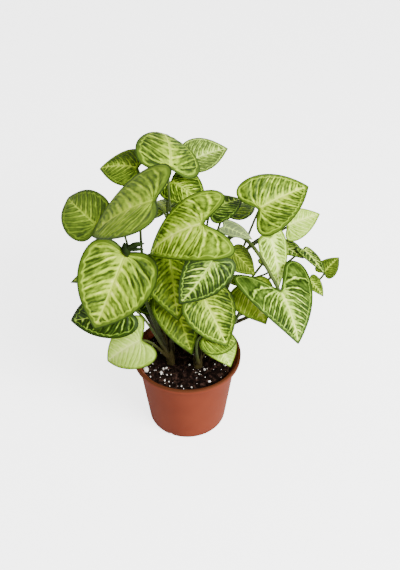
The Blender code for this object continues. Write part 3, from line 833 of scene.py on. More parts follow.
def smooth_step(value, start, end):
    """0 before start, 1 after end, and a smooth curve in between."""
    share = np.clip((value - start) / (end - start), 0, 1)
    return share * share * (3 - 2 * share)


def blade_relief(leaf, side, forward, reach, turns, phase, edge, seed):
    """Height of the blade's middle surface over its plain form: puckers, midrib crease and margin waves."""
    length = leaf.size[0]
    draw = np.random.default_rng(seed)
    across = np.abs(side) / length * HUNDRED
    calm = smooth_step(across, 1.0, 7.0) * smooth_step(edge, 0.5, 5.0)
    pucker = -PUCKER * length * np.cos(math.tau * phase) * calm
    ahead = np.clip(forward / length, 0, 1)
    crease = -CREASE_DEPTH * length * np.exp(-across / CREASE_WIDTH) * (1 - ahead ** 3)
    shifts = draw.uniform(0, math.tau, 3)
    counts = draw.integers(3, 9, 3)
    wave = sum(np.sin(count * turns + shift) for count, shift in zip(counts, shifts)) / 3
    wave = WAVE_HEIGHT * length * wave * reach ** 4 * np.sin(np.abs(turns)) ** 0.5
    return pucker + crease + wave


# %% [markdown]
# A blade has an upper and a lower skin, and a band of faces joins them along the margin. The Solidify
# modifier could make the second skin, but it knows one thickness, and a real blade is thick along its
# midrib and thin at its margin. The points also carry the numbers that the material will ask for.

# %% Blade mesh
BLADE_THICKNESS = 0.55
MARGIN_THICKNESS = 0.22
RIB_HEIGHT = 0.011
RIB_WIDTH = 1.3
BLADE_SPACING = 1.7


def blade(leaf, seed, look, spacing=BLADE_SPACING):
    """Points, faces and point values of one blade: an upper and a lower skin that meet at the margin."""
    length = leaf.size[0]
    turns = even_turns(leaf, spacing)
    columns = len(turns)
    rings = max(8, round(length * 0.55 / spacing))
    reach = np.linspace(0, 1, rings + 1)[1:, None]
    edge_x, edge_y = leaf_outline(leaf, turns)
    hub = HUB * length
    side = np.append((reach * edge_x).ravel(), 0.0)
    forward = np.append((hub + reach * (edge_y - hub)).ravel(), hub)
    all_reach = np.append((reach + 0 * edge_x).ravel(), 0.0)
    all_turns = np.append((turns + 0 * reach).ravel(), 0.0)
    phase, vein_width = vein_field(leaf, side, forward)
    edge = margin_distance(leaf, side, forward)
    raised = blade_relief(leaf, side, forward, all_reach, all_turns, phase, edge, seed)
    half = (MARGIN_THICKNESS + (BLADE_THICKNESS - MARGIN_THICKNESS) * smooth_step(edge, 0, 4)) / 2
    across = np.abs(side) / length * HUNDRED
    ahead = np.clip(forward / length, 0, 1)
    rib = RIB_HEIGHT * length * np.exp(-(across / RIB_WIDTH) ** 2) * (1 - ahead) ** 0.7
    rib = rib * smooth_step(edge, 0, 3)
    upper = placed(leaf, bent(leaf, side, forward, raised + half))
    lower = placed(leaf, bent(leaf, side, forward, raised - half - rib))
    count = len(side)
    skin = [grid_faces(rings, columns), fan_faces(count - 1, 0, columns, True)]
    rim = (rings - 1) * columns + np.arange(columns)
    rim_ahead = (rings - 1) * columns + (np.arange(columns) + 1) % columns
    band = np.stack([rim, rim_ahead, rim_ahead + count, rim + count], -1)
    faces = [*skin, *(array[:, ::-1] + count for array in skin), band]
    flat = np.stack([side / length * HUNDRED, forward / length * HUNDRED, np.full(count, seed * 7.3)], -1)
    vein = np.stack([phase, vein_width, across], -1)
    values = {
        "flat": np.concatenate([flat, flat]),
        "vein": np.concatenate([vein, vein]),
        "edge": np.concatenate([edge, edge]),
        "underside": np.repeat([0.0, 1.0], count),
        "look": np.tile(np.array(look[:3]), (2 * count, 1)),
        "tint": np.full(2 * count, look.tint),
    }
    return np.concatenate([upper, lower]), faces, values


# %% [markdown]
# ## Leaves: how they differ
#
# No two leaves of one plant have quite the same pattern. A young leaf is nearly all cream, one that
# grew in shade is deep green with a few pale fingers, and an old one turns olive. Four numbers say
# how far a leaf departs from a middling one, and the mesh carries them to the material.

# %% Leaf looks
class Look(NamedTuple):
    """How one leaf departs from a middling one."""
    cream: float = 0.0       # how much further the cream reaches, as a share of the half width
    contrast: float = 0.0    # how much more the veins stand out from the green between them
    light: float = 0.0       # how much lighter the green is
    tint: float = 0.0        # from -1, greyish, to 1, olive


LOOKS = {
    # The top leaf's grey tint is a painted sheen: the greyish white gloss where light falls on its upper
    # face.
    "top": Look(0.06, 0.1, 0.02, -0.12),
    "high_left": Look(-0.02, -0.40, 0.16, -0.15),
    "far_left": Look(-0.08, -0.5, -0.02, -0.15),
    "top_left": Look(0.0, -0.3, -0.02, 0.1),
    "top_right": Look(0.0, 0.9, -0.30, -0.3),
    "centre": Look(0.14, 0.0, 0.20, 0.0),
    "right": Look(0.10, 0.1, 0.07, 0.1),
    "front_left": Look(0.02, 0.0, 0.10, 0.2),
    "low_left": Look(-0.07, 0.1, -0.08, 0.0),
    "pale_low_left": Look(0.05, -0.45, 0.04, 0.0),
    "inner_front": Look(0.02, -0.1, 0.09, 0.1),
    "front": Look(0.08, 0.2, 0.04, -0.1),
    "low_front": Look(0.10, 0.1, 0.02, 0.1),
    "over_soil": Look(-0.08, -0.3, 0.07, 0.2),
    "low_right": Look(0.0, -0.2, 0.06, 0.0),
    "front_right": Look(0.16, 0.10, 0.15, 0.0),
    # The leaf under the right side is painted lighter: painted light on a leaf that lies in the shade of the
    # leaves above it.
    "under_right": Look(0.04, -0.5, 0.34, 0.1),
    "folded_pale": Look(0.1, 0.6, -0.10, 0.1),
    "narrow_right": Look(0.10, 0.5, 0.0, 0.0),
    "small_right": Look(0.10, 0.5, 0.0, 0.0),
    "tiny_right": Look(-0.05, -0.4, -0.08, 0.3),
    "young_pale": Look(-0.10, 0.2, -0.50, -1.0),
    "inner_left": Look(0.02, 0.2, 0.0, 0.0),
    "inner_right": Look(-0.20, -0.5, -0.10, 0.5),
}
MIDDLING = Look()

# %% [markdown]
# ## Leaves: their finish
#
# The pale parts of an arrowhead leaf follow its veins. Cream fills a ragged zone along the midrib and
# runs out in fingers along the side veins. The side veins themselves are yellow green all the way to a
# collecting vein, which follows the margin. Between them lie streaks of darker green, and outside the
# collecting vein the blade is plain. Painting thirty-seven leaves would take days, and plain noise
# knows nothing of veins. So the group below works out how pale each point is, from 0 for the deepest
# green to 1 for cream, from what the mesh carries, and each kind of leaf turns that into its colours.
# Its lengths are in hundredths of the leaf's own.

# %% Leaf variegation group
GROUP_INPUTS = {"Between": 0.3, "Streaks": 1.0, "Vein": 0.34}
GROUP_OUTPUTS = ("Pale", "Height", "Underside", "Blotch", "Tint")
leaf_tree, leaf_in, leaf_out = new_group("leaf_variegation", GROUP_INPUTS, GROUP_OUTPUTS)
leaf_calc, leaf_step, leaf_mix, leaf_noise = (
    partial(helper, leaf_tree) for helper in (calc, step, mix_values, noise))
# Short names: a sum, a difference, a product, a product plus a third value, and the larger of two
plus, minus, times, times_plus, larger = (
    partial(leaf_calc, operation) for operation in ("ADD", "SUBTRACT", "MULTIPLY", "MULTIPLY_ADD", "MAXIMUM"))


def carried(name, socket="Vector"):
    """A value that the mesh carries."""
    return add_node(leaf_tree, "ShaderNodeAttribute", attribute_name=name).outputs[socket]


def three(vector):
    """The three numbers of a vector."""
    return add_node(leaf_tree, "ShaderNodeSeparateXYZ", {0: vector}).outputs


def about_zero(value, size):
    """Noise from 0 to 1 moved to lie about zero, as large as the given size."""
    return times_plus(value, 2 * size, -size)


flat = carried("flat")
side, forward, seed = three(flat)
phase, vein_width, across = three(carried("vein"))
more_cream, more_contrast, more_light = three(carried("look"))
edge = carried("edge", "Fac")
contrast = times(plus(more_contrast, 1.0), leaf_in["Streaks"])
share_out = leaf_calc("DIVIDE", across, plus(plus(across, edge), 0.01))
print("Leaf group:", len(GROUP_INPUTS), "inputs,", len(GROUP_OUTPUTS), "outputs")

# %% [markdown]
# Nothing on a leaf is even. The noise is read on the flat blade, and each blade starts at another place
# in it, so no two are alike. It comes as broad blotches, a wander that bends the veins, a fine speckle,
# and streaks and patches that run along the veins.

# %% Leaf noise
STREAK_ALONG = 2.7
STREAK_ACROSS = 0.16
PATCH_STRETCH = (0.5, 0.6, 1.0)
blotch = leaf_noise(flat, 0.045, 2.0)
wander = leaf_noise(flat, 0.07, 1.0)
speckle = leaf_noise(flat, 0.35, 2.0, 0.5)
along_vein = add_node(leaf_tree, "ShaderNodeCombineXYZ", {
    "X": times(phase, STREAK_ALONG),
    "Y": times(across, STREAK_ACROSS),
    "Z": plus(seed, times(leaf_calc("SIGN", side), 3.0)),
}).outputs["Vector"]
streak = leaf_noise(along_vein, 1.0, 2.0, 0.5)
stretched = add_node(leaf_tree, "ShaderNodeVectorMath", {0: along_vein, 1: PATCH_STRETCH},
                     operation="MULTIPLY")
patch = leaf_noise(stretched.outputs[0], 1.0, 2.0)
print("Leaf noise: blotch, wander, speckle, streak and patch")

# %% [markdown]
# A side vein lies where the vein phase is a whole number. Ping-pong turns the phase into the distance to
# the nearest whole number, and the width of one phase turns that into a distance on the blade. Here and
# there a fainter vein lies halfway between two, and dark flames follow a vein on both sides.

# %% Leaf veins
VEIN_WANDER = 0.50
VEIN_HALF = 2.1
VEIN_SWELL = 1.3
HALFWAY_HALF = 2.2
FLAME_INSIDE = (1.2, 2.8)
FLAME_OUTSIDE = (6.4, 3.4)
wandered = times_plus(minus(wander, 0.5), VEIN_WANDER, phase)
from_vein = times(leaf_calc("PINGPONG", wandered, 0.5), vein_width)
from_halfway = times(leaf_calc("PINGPONG", plus(wandered, 0.5), 0.5), vein_width)
vein_half = plus(times_plus(leaf_step(share_out, 0.9, 0.1), VEIN_SWELL, VEIN_HALF),
                 about_zero(speckle, 0.5))
on_vein = leaf_step(from_vein, vein_half, 0.0)
on_halfway = times(leaf_step(from_halfway, HALFWAY_HALF, 0.0), leaf_step(patch, 0.50, 0.72))
on_halfway = times(on_halfway, leaf_step(share_out, 0.75, 0.35))
beside_vein = times(leaf_step(from_vein, *FLAME_INSIDE), leaf_step(from_vein, *FLAME_OUTSIDE))
print("Veins: a side vein every", VEIN_STEP, "and a ray every", RAY_STEP, "degrees")

# %% [markdown]
# The cream's reach is compared with how far out a point lies between the midrib and the margin. Noise
# that runs along the veins makes its border ragged, and it reaches further on a vein than between two.

# %% Leaf cream
CREAM_REACH = 0.02
CREAM_ON_VEIN = 0.24
CREAM_RAGGED = 0.26
CREAM_PATCHY = 0.20
CREAM_EDGE = (0.22, -0.18)
HUB_AT = 4.0
HUB_REACH = 7.0
HUB_RAGGED = 16.0
HUB_EDGE = (6.0, -4.0)
MIDRIB_TIP_HALF = 0.9
MIDRIB_SWELL = 2.0
reach = plus(more_cream, CREAM_REACH)
reach = times_plus(leaf_step(from_vein, 3.2, 0.0), CREAM_ON_VEIN, reach)
reach = plus(about_zero(streak, CREAM_RAGGED), reach)
reach = plus(about_zero(patch, CREAM_PATCHY), reach)
cream_zone = leaf_step(minus(share_out, reach), *CREAM_EDGE)
from_hub = leaf_calc("SQRT", plus(leaf_calc("POWER", across, 2.0),
                                  leaf_calc("POWER", minus(forward, HUB_AT), 2.0)))
hub_reach = plus(times_plus(more_cream, 40.0, HUB_REACH), about_zero(streak, HUB_RAGGED))
cream_zone = larger(cream_zone, leaf_step(minus(from_hub, hub_reach), *HUB_EDGE))
midrib_half = times_plus(leaf_step(forward, HUNDRED, 0.0), MIDRIB_SWELL, MIDRIB_TIP_HALF)
midrib = leaf_step(across, midrib_half, times(midrib_half, 0.1))
groove = times(leaf_step(across, 0.75, 0.1), leaf_step(forward, 75.0, 10.0))
print("Cream: reaches", CREAM_REACH, "of the way out and", CREAM_ON_VEIN, "further on a vein")

# %% [markdown]
# The side veins end in a collecting vein a little inside the margin. The mesh carries the distance to
# the margin, so this vein is wherever that distance has one value. It is drawn outwards where a side
# vein meets it.

# %% Leaf collecting vein
LINE_FROM_MARGIN = 5.4
LINE_PULL = 0.9
LINE_HALF = 1.7
line_at = times_plus(leaf_calc("COSINE", times(wandered, math.tau)), -LINE_PULL, LINE_FROM_MARGIN)
line_at = plus(about_zero(wander, 1.6), line_at)
from_line = leaf_calc("ABSOLUTE", minus(edge, line_at))
on_line = times(leaf_step(from_line, LINE_HALF, 0.1), leaf_step(patch, 0.15, 0.45))
inside_line = leaf_step(minus(edge, line_at), -1.4, 0.4)
print("Collecting vein:", LINE_FROM_MARGIN, "from the margin")

# %% [markdown]
# Paleness is then a sum. It starts from the green between the veins and gains on a vein, loses in the
# dark flames beside it, and gives way to the cream, to the midrib, to the plain border outside the
# collecting vein, to that vein, and last to the dark line of the margin.

# %% Leaf paleness
STREAKINESS = 0.42
BLOTCHINESS = 0.36
SPECKLE = 0.10
FLAME_DARK = 0.24
MARGIN_DARK = 0.09
CREAM_PALE = 0.73
MIDRIB_PALE = 0.86
GROOVE_DARK = 0.18
LINE_SHARE = 0.85
green = plus(leaf_in["Between"], more_light)
green = times_plus(leaf_step(share_out, 0.65, 0.1), 0.10, green)
uneven = plus(about_zero(streak, STREAKINESS), about_zero(blotch, BLOTCHINESS))
uneven = plus(uneven, about_zero(speckle, SPECKLE))
uneven = times_plus(times(beside_vein, leaf_step(patch, 0.30, 0.62)), -FLAME_DARK, uneven)
uneven = times_plus(leaf_step(edge, 15.0, 5.0), -MARGIN_DARK, uneven)
green = times_plus(uneven, contrast, green)
lift = larger(on_vein, times(on_halfway, 0.5))
lift = times(lift, plus(about_zero(patch, 0.26), leaf_in["Vein"]))
pale = times_plus(lift, times_plus(more_contrast, 0.6, 1.0), green)
creamy = times_plus(leaf_step(share_out, 0.35, 0.05), 0.13, CREAM_PALE)
pale = leaf_mix(times(cream_zone, 0.9), pale, larger(pale, creamy))
pale = leaf_mix(midrib, pale, times_plus(more_cream, 0.8, MIDRIB_PALE))
pale = times_plus(groove, -GROOVE_DARK, pale)
outer = times_plus(more_light, 0.7, times(leaf_in["Between"], 0.66))
outer = plus(about_zero(blotch, 0.15), outer)
pale = leaf_mix(inside_line, outer, pale)
line_pale = plus(leaf_in["Between"], times(contrast, leaf_in["Vein"]))
pale = leaf_mix(times(on_line, LINE_SHARE), pale, line_pale)
pale = leaf_mix(leaf_step(edge, 0.8, 2.3), times(leaf_in["Between"], 0.05), pale)
pale = add_node(leaf_tree, "ShaderNodeClamp", {"Value": pale}).outputs[0]
print("Paleness: cream is", CREAM_PALE, "and the midrib", MIDRIB_PALE)

# %% [markdown]
# Between its veins a blade is a net of tiny cells, and each vein is a furrow. Both are finer than the
# mesh, so they are given as a height for the material's bump. The group then hands out its results.

# %% Leaf height
cells = add_node(leaf_tree, "ShaderNodeTexVoronoi", {"Vector": flat, "Scale": 0.5},
                 feature="DISTANCE_TO_EDGE")
net = leaf_step(cells.outputs["Distance"], 0.0, 0.25)
furrow = leaf_step(from_vein, 0.0, 1.4)
relief = times_plus(net, 0.35, times(furrow, 0.65))
made = (pale, relief, carried("underside", "Fac"), blotch, carried("tint", "Fac"))
for label, value in zip(GROUP_OUTPUTS, made):
    leaf_tree.links.new(value, leaf_out[label])
print("Leaf group:", len(leaf_tree.nodes), "nodes")

# %% [markdown]
# Three kinds of leaf share the group. A lime one is the common kind, a deep one is darker between its
# veins, and a pale one is young. Each has its own colours for the steps from deepest green to cream,
# and a duller colour for its underside. A tint below zero greys a leaf, and one above turns it olive.

# %% Leaf finishes
OLIVE = (1.0, 0.78, 0.9)
GREYISH = (0.25, 0.30, 0.17)
GREY_SHARE = 0.45
UNDERSIDE_SHARE = 0.55


def leaf_material(name, stops, under, between, streaks, vein):
    """One kind of leaf: its colours from deep green to cream, and the duller colour of its underside."""
    made, tree, shader = new_material(name, 0.45, 0.07)
    outputs = place_group(tree, leaf_tree, Between=between, Streaks=streaks, Vein=vein)
    colour = ramp(tree, outputs["Pale"], stops)
    olive = blend(tree, 1.0, colour, OLIVE, "MULTIPLY")
    colour = blend(tree, step(tree, outputs["Tint"], 0.0, 1.0), colour, olive)
    greyed = calc(tree, "MULTIPLY", step(tree, outputs["Tint"], 0.0, -1.0), GREY_SHARE)
    colour = blend(tree, greyed, colour, GREYISH)
    dulled = calc(tree, "MULTIPLY", outputs["Underside"], UNDERSIDE_SHARE)
    colour = blend(tree, dulled, colour, under)
    tree.links.new(colour, shader.inputs["Base Color"])
    roughness = calc(tree, "MULTIPLY_ADD", outputs["Blotch"], 0.2, 0.34)
    roughness = calc(tree, "MULTIPLY_ADD", outputs["Underside"], 0.2, roughness)
    tree.links.new(roughness, shader.inputs["Roughness"])
    set_bump(tree, shader, outputs["Height"], 0.18, 0.6)
    return made


LIME_STOPS = ((0.0, (0.020, 0.044, 0.003)), (0.15, (0.042, 0.080, 0.005)), (0.30, (0.084, 0.145, 0.008)),
              (0.45, (0.150, 0.245, 0.012)), (0.62, (0.27, 0.41, 0.020)), (0.80, (0.46, 0.62, 0.038)),
              (1.0, (0.76, 0.84, 0.17)))
DEEP_STOPS = ((0.0, (0.010, 0.024, 0.001)), (0.15, (0.021, 0.047, 0.003)), (0.30, (0.041, 0.082, 0.007)),
              (0.45, (0.082, 0.142, 0.013)), (0.62, (0.18, 0.31, 0.026)), (0.80, (0.40, 0.58, 0.060)),
              (1.0, (0.78, 0.86, 0.24)))
PALE_STOPS = ((0.0, (0.054, 0.094, 0.008)), (0.15, (0.12, 0.20, 0.015)), (0.30, (0.215, 0.345, 0.022)),
              (0.45, (0.34, 0.53, 0.05)), (0.62, (0.50, 0.72, 0.10)), (0.80, (0.68, 0.86, 0.18)),
              (1.0, (0.86, 0.92, 0.34)))
LEAF_FINISHES = {
    "lime": leaf_material("leaf_lime", LIME_STOPS, (0.17, 0.27, 0.04), 0.31, 1.2, 0.30),
    "deep": leaf_material("leaf_deep", DEEP_STOPS, (0.10, 0.17, 0.03), 0.22, 1.15, 0.38),
    "pale": leaf_material("leaf_pale", PALE_STOPS, (0.36, 0.47, 0.10), 0.50, 0.7, 0.20),
}
print("Leaf finishes:", *LEAF_FINISHES)

# %% [markdown]
# The blades are made in one loop over the table. A blade's number seeds its own waves and streaks.

# %% Leaf blades
PALE_LEAVES = {"pale_low_left", "pale_low_right", "folded_pale", "pale_far_right",
               "top_right", "young_pale"}
DEEP_LEAVES = {"front", "front_right", "low_left", "narrow_right", "small_right",
               "behind_centre", "inner_low_left"}
total_faces = 0
furthest_out = 0.0
for number, leaf in enumerate(LEAVES):
    tone = "pale" if leaf.name in PALE_LEAVES else "deep" if leaf.name in DEEP_LEAVES else "lime"
    points, faces, values = blade(leaf, number + 1, LOOKS.get(leaf.name, MIDDLING))
    node = "leaf_" + leaf.name
    add_piece("blade_" + leaf.name, points, faces, LEAF_FINISHES[tone], "leaf_" + tone, (node,), values,
              sharp=60)
    total_faces += sum(map(len, faces))
    furthest_out = max(furthest_out, outside_node(points, node))
print("Leaf blades:", len(LEAVES), "faces:", total_faces)
print("Furthest out of a node:", round(furthest_out, 2), "mm")

# %% [markdown]
# ## Stalks and stumps
#
# Each leaf hangs on a thin stalk that rises from a short stump. A curve object with a round bevel would
# do for a plain wire, but a real stalk thickens into a clasping sheath at its foot, hollow on its
# inner side. So a stalk is a tube: a cubic curve gives its line, and a ring of points is carried along
# it and pulled in where it clasps.

# %% Stalk form
STALK_STEPS = 44
STALK_COLUMNS = 12
STALK_TIP_RADIUS = 1.1
STALK_SWELL = 0.6
SHEATH_SWELL = 1.7
SHEATH_POWER = 5
SHEATH_HOLLOW = 0.5
CROWN_HEIGHT = 92.0
STALK_END_GAP = 0.24
SHOOT_PLACES = {
    "front_left": (-18, -8),
    "front": (12, -14),
    "left": (-26, 18),
    "middle": (4, 20),
    "right": (32, 6),
    "back": (-6, 42),
    "back_right": (26, 34),
}


def stalk_line(leaf):
    """Points along the stalk: a cubic Bezier from the crown to the underside of the blade's hub."""
    axes = blade_axes(leaf)
    hub_place = HUB * leaf.size[0] + np.zeros(1)
    hub = placed(leaf, bent(leaf, np.zeros(1), hub_place, np.zeros(1)))[0]
    bend = math.radians(leaf.arch) * HUB
    tangent = axes[1] * math.cos(bend) - axes[2] * math.sin(bend)
    face = axes[2] * math.cos(bend) + axes[1] * math.sin(bend)
    arrival = math.sqrt(1 - leaf.arrival ** 2) * face + leaf.arrival * tangent
    end = hub - (STALK_END_GAP + STALK_TIP_RADIUS * leaf.arrival) * face
    crown = np.array([*SHOOT_PLACES[leaf.shoot], CROWN_HEIGHT], float)
    after = crown + np.array(leaf.rise)
    before = end - leaf.reach * arrival
    along = np.linspace(0, 1, STALK_STEPS)[:, None]
    left = 1 - along
    return (left ** 3 * crown + 3 * left ** 2 * along * after
            + 3 * left * along ** 2 * before + along ** 3 * end)


def tube(line, radii, columns, sheath, inward):
    """Rings of a tube along a line, each ring square to it and turned as little as possible.

    Where it is a sheath, the side that faces inwards is pulled in by the squared cosine of the angle
    to it, which makes the round section a clasping one.
    """
    tangents = np.gradient(line, axis=0)
    tangents /= np.linalg.norm(tangents, axis=1)[:, None]
    side = np.cross(tangents[0], (1.0, 0.0, 0.0))
    angle = np.arange(columns) * math.tau / columns
    rings = [line[:1] + np.zeros((columns, 3))]
    for centre, tangent, radius, hollow in zip(line, tangents, radii, sheath):
        side = side - tangent * (side @ tangent)
        side /= np.linalg.norm(side)
        other = np.cross(tangent, side)
        spokes = np.cos(angle)[:, None] * side + np.sin(angle)[:, None] * other
        pulled = 1 - hollow * np.clip(spokes @ inward, 0, 1)[:, None] ** 2
        rings.append(centre + radius * pulled * spokes)
    rings.append(line[-1:] + np.zeros((columns, 3)))
    return np.stack(rings)


# %% [markdown]
# A stalk is green and turns brown towards the soil, where its tissue is old. Each stalk could be painted,
# but they all stand in the same soil, so one material does: the height chooses between green and brown,
# and the coarse grain makes both uneven.

# %% Stalk finish
BROWN_BELOW = (150.0 * MM, 100.0 * MM)
stalk_finish, tree, shader, grain = grainy_material("stalk", 0.5, 0.16, 700.0, 60.0)
green = ramp(tree, grain["Coarse"], ((0.3, (0.028, 0.044, 0.006)), (0.7, (0.065, 0.095, 0.014))))
brown = ramp(tree, grain["Coarse"], ((0.3, (0.016, 0.012, 0.004)), (0.7, (0.050, 0.038, 0.011))))
near_soil = step(tree, own_height(tree), *BROWN_BELOW)
tree.links.new(blend(tree, near_soil, green, brown), shader.inputs["Base Color"])
set_bump(tree, shader, grain["Fine"], 0.1, 0.5)
print("Stalk finish:", len(tree.nodes), "nodes")

# %% Stalks
STOUT_STALKS = {"front_right": 1.5}
left = 1 - np.linspace(0, 1, STALK_STEPS)
sheath = left ** SHEATH_POWER
for leaf in LEAVES:
    radii = STALK_TIP_RADIUS + STALK_SWELL * left + SHEATH_SWELL * sheath
    radii = radii * STOUT_STALKS.get(leaf.name, 1.0)
    inward = -np.array([*leaf.rise[:2], 0.0]) / math.hypot(*leaf.rise[:2])
    rings = tube(stalk_line(leaf), radii, STALK_COLUMNS, SHEATH_HOLLOW * sheath, inward)
    add_piece("stalk_" + leaf.name, *closed_rings(rings), stalk_finish, "stalk")
print("Stalks:", len(LEAVES))

# %% [markdown]
# A stump is a short turned stem with a few rings where older leaves have dropped. All stumps share
# one profile, because only their tops show above the soil.

# %% Stumps
STUMP_RADIUS = 4.5
STUMP_FOOT = 62.0
STUMP_TOP = 98.0
STUMP_TAPER_FROM = 90.0
STUMP_TAPER = 0.45
STUMP_COLUMNS = 32
SCAR_DEPTH = 0.06
SCAR_RATE = 1.6
height = np.linspace(STUMP_FOOT, STUMP_TOP - 1.0, 40)
taper = 1 - smooth_step(height, STUMP_TAPER_FROM, STUMP_TOP) * STUMP_TAPER
radius = STUMP_RADIUS * taper * (1 + SCAR_DEPTH * np.sin(height * SCAR_RATE))
profile = np.stack([radius, height], -1)
profile = np.concatenate([[[0.0, STUMP_FOOT]], profile, [[0.0, STUMP_TOP]]])
stump_points, stump_faces = closed_rings(turned(profile, STUMP_COLUMNS))
for name, (x, y) in SHOOT_PLACES.items():
    add_piece("stump_" + name, stump_points + np.array([x, y, 0.0]), stump_faces, stalk_finish, "stalk",
              ("shoot_" + name,))
print("Stumps:", len(SHOOT_PLACES))

# %% [markdown]
# Dry sheaths of older leaves still wrap each stump. A flat strip would have no thickness where it
# stands clear. So one sheath is a strip of a cone, up to half a turn wide, that narrows to a point at
# its top and leans out a little there. Its outer and inner skins are two grids a fraction of a
# millimetre apart, and its edge joins them.

# %% Dry sheaths
DRY_SHEATHS = 3
DRY_ROWS = 14
DRY_COLUMNS = 13
DRY_SKIN = 0.35
DRY_RADIUS = 5.0
DRY_NARROWING = 0.6
DRY_RIPPLE = 0.25
DRY_FOOT = 84.0
DRY_TURN = 2.3
# The least and the most half angle, height and flare of a sheath
DRY_LEAST = (0.9, 18.0, 0.2)
DRY_MOST = (1.5, 30.0, 1.6)


def dry_sheath(x, y, turn, wrap, tall, flare):
    """Points and faces of one sheath: its half angle falls as the square root of the height left."""
    up = np.linspace(0, 1, DRY_ROWS)[:, None]
    across = np.linspace(-1, 1, DRY_COLUMNS)
    angle = turn + wrap * across * np.sqrt(1.02 - up)
    ripple = DRY_RIPPLE * np.sin(3 * across + 4 * up)
    radius = DRY_RADIUS - DRY_NARROWING * up + flare * up ** 3 + ripple
    height = DRY_FOOT + tall * up * (1 - 0.10 * across ** 2)
    skins = []
    for skin_radius in (radius, radius - DRY_SKIN):
        skin = [x + skin_radius * np.cos(angle), y + skin_radius * np.sin(angle), height + 0 * angle]
        skins.append(np.stack(skin, -1).reshape(-1, 3))
    row, column = np.meshgrid(np.arange(DRY_ROWS - 1), np.arange(DRY_COLUMNS - 1), indexing="ij")
    corner = (row * DRY_COLUMNS + column).ravel()
    outer = np.stack([corner, corner + 1, corner + DRY_COLUMNS + 1, corner + DRY_COLUMNS], -1)
    count = DRY_ROWS * DRY_COLUMNS
    grid = np.arange(count).reshape(DRY_ROWS, DRY_COLUMNS)
    rim = np.concatenate([grid[0, :-1], grid[:-1, -1], grid[-1, :0:-1], grid[:0:-1, 0]])
    ahead = np.roll(rim, -1)
    edge = np.stack([ahead, rim, rim + count, ahead + count], -1)
    return np.concatenate(skins), [outer, outer[:, ::-1] + count, edge]


draw = np.random.default_rng(21)
for name, (x, y) in SHOOT_PLACES.items():
    first_turn = draw.uniform(0, math.tau)
    sheaths = []
    for number in range(DRY_SHEATHS):
        wrap, tall, flare = draw.uniform(DRY_LEAST, DRY_MOST)
        sheaths.append(dry_sheath(x, y, first_turn + DRY_TURN * number, wrap, tall, flare))
    add_piece("sheaths_" + name, *joined(sheaths), stalk_finish, "stalk")
print("Dry sheaths:", DRY_SHEATHS * len(SHOOT_PLACES))

# %% [markdown]
# Above the hub of the big leaf at the front left lies a dark knot with two thin points. It is partly a
# real stalk and partly painted shade: its near-black colour stands in for the deep shade there. A
# crumpled sheet would need a simulation for a thing two centimetres long, so each of the three parts is
# a tube that swells and thins again.

# %% Shaded knot
shaded_knot_finish, tree, shader, grain = grainy_material("shaded_knot", 0.6, 0.06, 700.0, 160.0)
# Painted shade: the knot's near-black green stands in for the deep shade it lies in.
painted_shade_green = ramp(tree, grain["Coarse"], ((0.3, (0.003, 0.007, 0.001)), (0.7, (0.016, 0.032, 0.005))))
tree.links.new(painted_shade_green, shader.inputs["Base Color"])
set_bump(tree, shader, grain["Fine"], 0.2, 0.8)

KNOT_STEPS = 16
KNOT_COLUMNS = 10
# Each part from the hub: where it starts and ends, its widest radius and how far it bows up
KNOT_PARTS = (
    ((-2, 1, 11), (1, -3, -5), 4.6, 0.0),
    ((-2, -2, 4), (19, -3, 13), 3.0, 2.0),
    ((-1, -2, 3), (18, -3, 5), 2.1, 1.0),
)
knot_hub = np.array(next(leaf.base for leaf in LEAVES if leaf.name == "front_left"), float)


def knot_part(start, end, widest, bow):
    """Points and faces of one part: its radius follows a sine raised to a power, thin at both ends."""
    along = np.linspace(0, 1, KNOT_STEPS)
    line = knot_hub + np.array(start) + along[:, None] * np.subtract(end, start)
    line[:, 2] += bow * np.sin(math.pi * along)
    radii = widest * (0.12 + 0.88 * np.sin(math.pi * along) ** 0.8)
    return closed_rings(tube(line, radii, KNOT_COLUMNS, 0 * along, np.array([1.0, 0.0, 0.0])))


knot_points, knot_faces = joined(knot_part(*part) for part in KNOT_PARTS)
add_piece("shaded_knot", knot_points, knot_faces, shaded_knot_finish, "stalk")
print("Shaded knot:", len(KNOT_PARTS), "parts")

# %% [markdown]
# ## Floor and light
#
# The plant stands on a plain white sheet. Light strong enough to turn it white would also bleach the
# plant. So the sheet also glows, but to the camera only, and its glow doesn't light the pot from below.

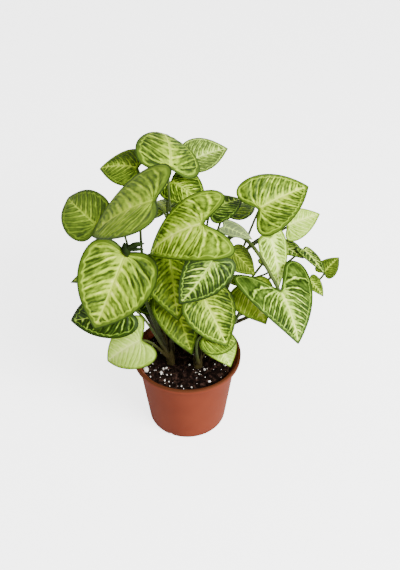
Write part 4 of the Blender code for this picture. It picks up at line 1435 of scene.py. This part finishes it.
# %% Floor
FLOOR_HALF = 6.0
PAPER_GLOW = 3.0
floor_mesh = bpy.data.meshes.new("floor")
floor_mesh.from_pydata([(-FLOOR_HALF, -FLOOR_HALF, 0), (FLOOR_HALF, -FLOOR_HALF, 0),
                        (FLOOR_HALF, FLOOR_HALF, 0), (-FLOOR_HALF, FLOOR_HALF, 0)], [], [(0, 1, 2, 3)])
floor = bpy.data.objects.new("floor", floor_mesh)
bpy.context.scene.collection.objects.link(floor)
floor_finish, tree, shader = new_material("floor_paper", 0.9, 0.1)
paper_noise = noise(tree, own_place(tree), 30.0)
paper = ramp(tree, paper_noise, ((0.3, (0.86, 0.86, 0.855)), (0.7, (0.89, 0.89, 0.885))))
tree.links.new(paper, shader.inputs["Base Color"])
shader.inputs["Emission Color"].default_value = (1.0, 1.0, 1.0, 1.0)
seen = add_node(tree, "ShaderNodeLightPath").outputs["Is Camera Ray"]
tree.links.new(calc(tree, "MULTIPLY", seen, PAPER_GLOW), shader.inputs["Emission Strength"])
floor_mesh.materials.append(floor_finish)
print("Floor:", 2 * FLOOR_HALF, "m wide")

# %% [markdown]
# A bright, even sky fills the shadows, as a white room does. One broad lamp from the right and above
# gives the leaves their soft highlights and the pot its darker left side, and a small lamp low on the
# right brightens the pot's right edge. A single sun would make the shadows too hard.

# %% Light
SKY_STRENGTH = 0.75
world = bpy.data.worlds.new("studio")
world.use_nodes = True
sky = world.node_tree.nodes["Background"]
sky.inputs["Color"].default_value = (1.0, 1.0, 1.0, 1.0)
sky.inputs["Strength"].default_value = SKY_STRENGTH
bpy.context.scene.world = world


def add_lamp(name, place, aim, size, power):
    """A square area light, aimed at a point, in metres and watts."""
    data = bpy.data.lights.new(name, "AREA")
    data.size = size
    data.energy = power
    lamp = bpy.data.objects.new(name, data)
    lamp.location = place
    direction = np.array(aim) - np.array(place)
    lamp.rotation_euler = (math.atan2(math.hypot(direction[0], direction[1]), -direction[2]), 0.0,
                           math.atan2(direction[1], direction[0]) - math.pi / 2)
    bpy.context.scene.collection.objects.link(lamp)


add_lamp("key", (1.0, -1.1, 1.6), (0.0, 0.0, 0.15), 1.0, 88.0)
add_lamp("low_right", (1.3, -0.5, 0.35), (0.0, 0.0, 0.06), 0.5, 14.0)
print("Lamps:", [light.name for light in bpy.data.lights])
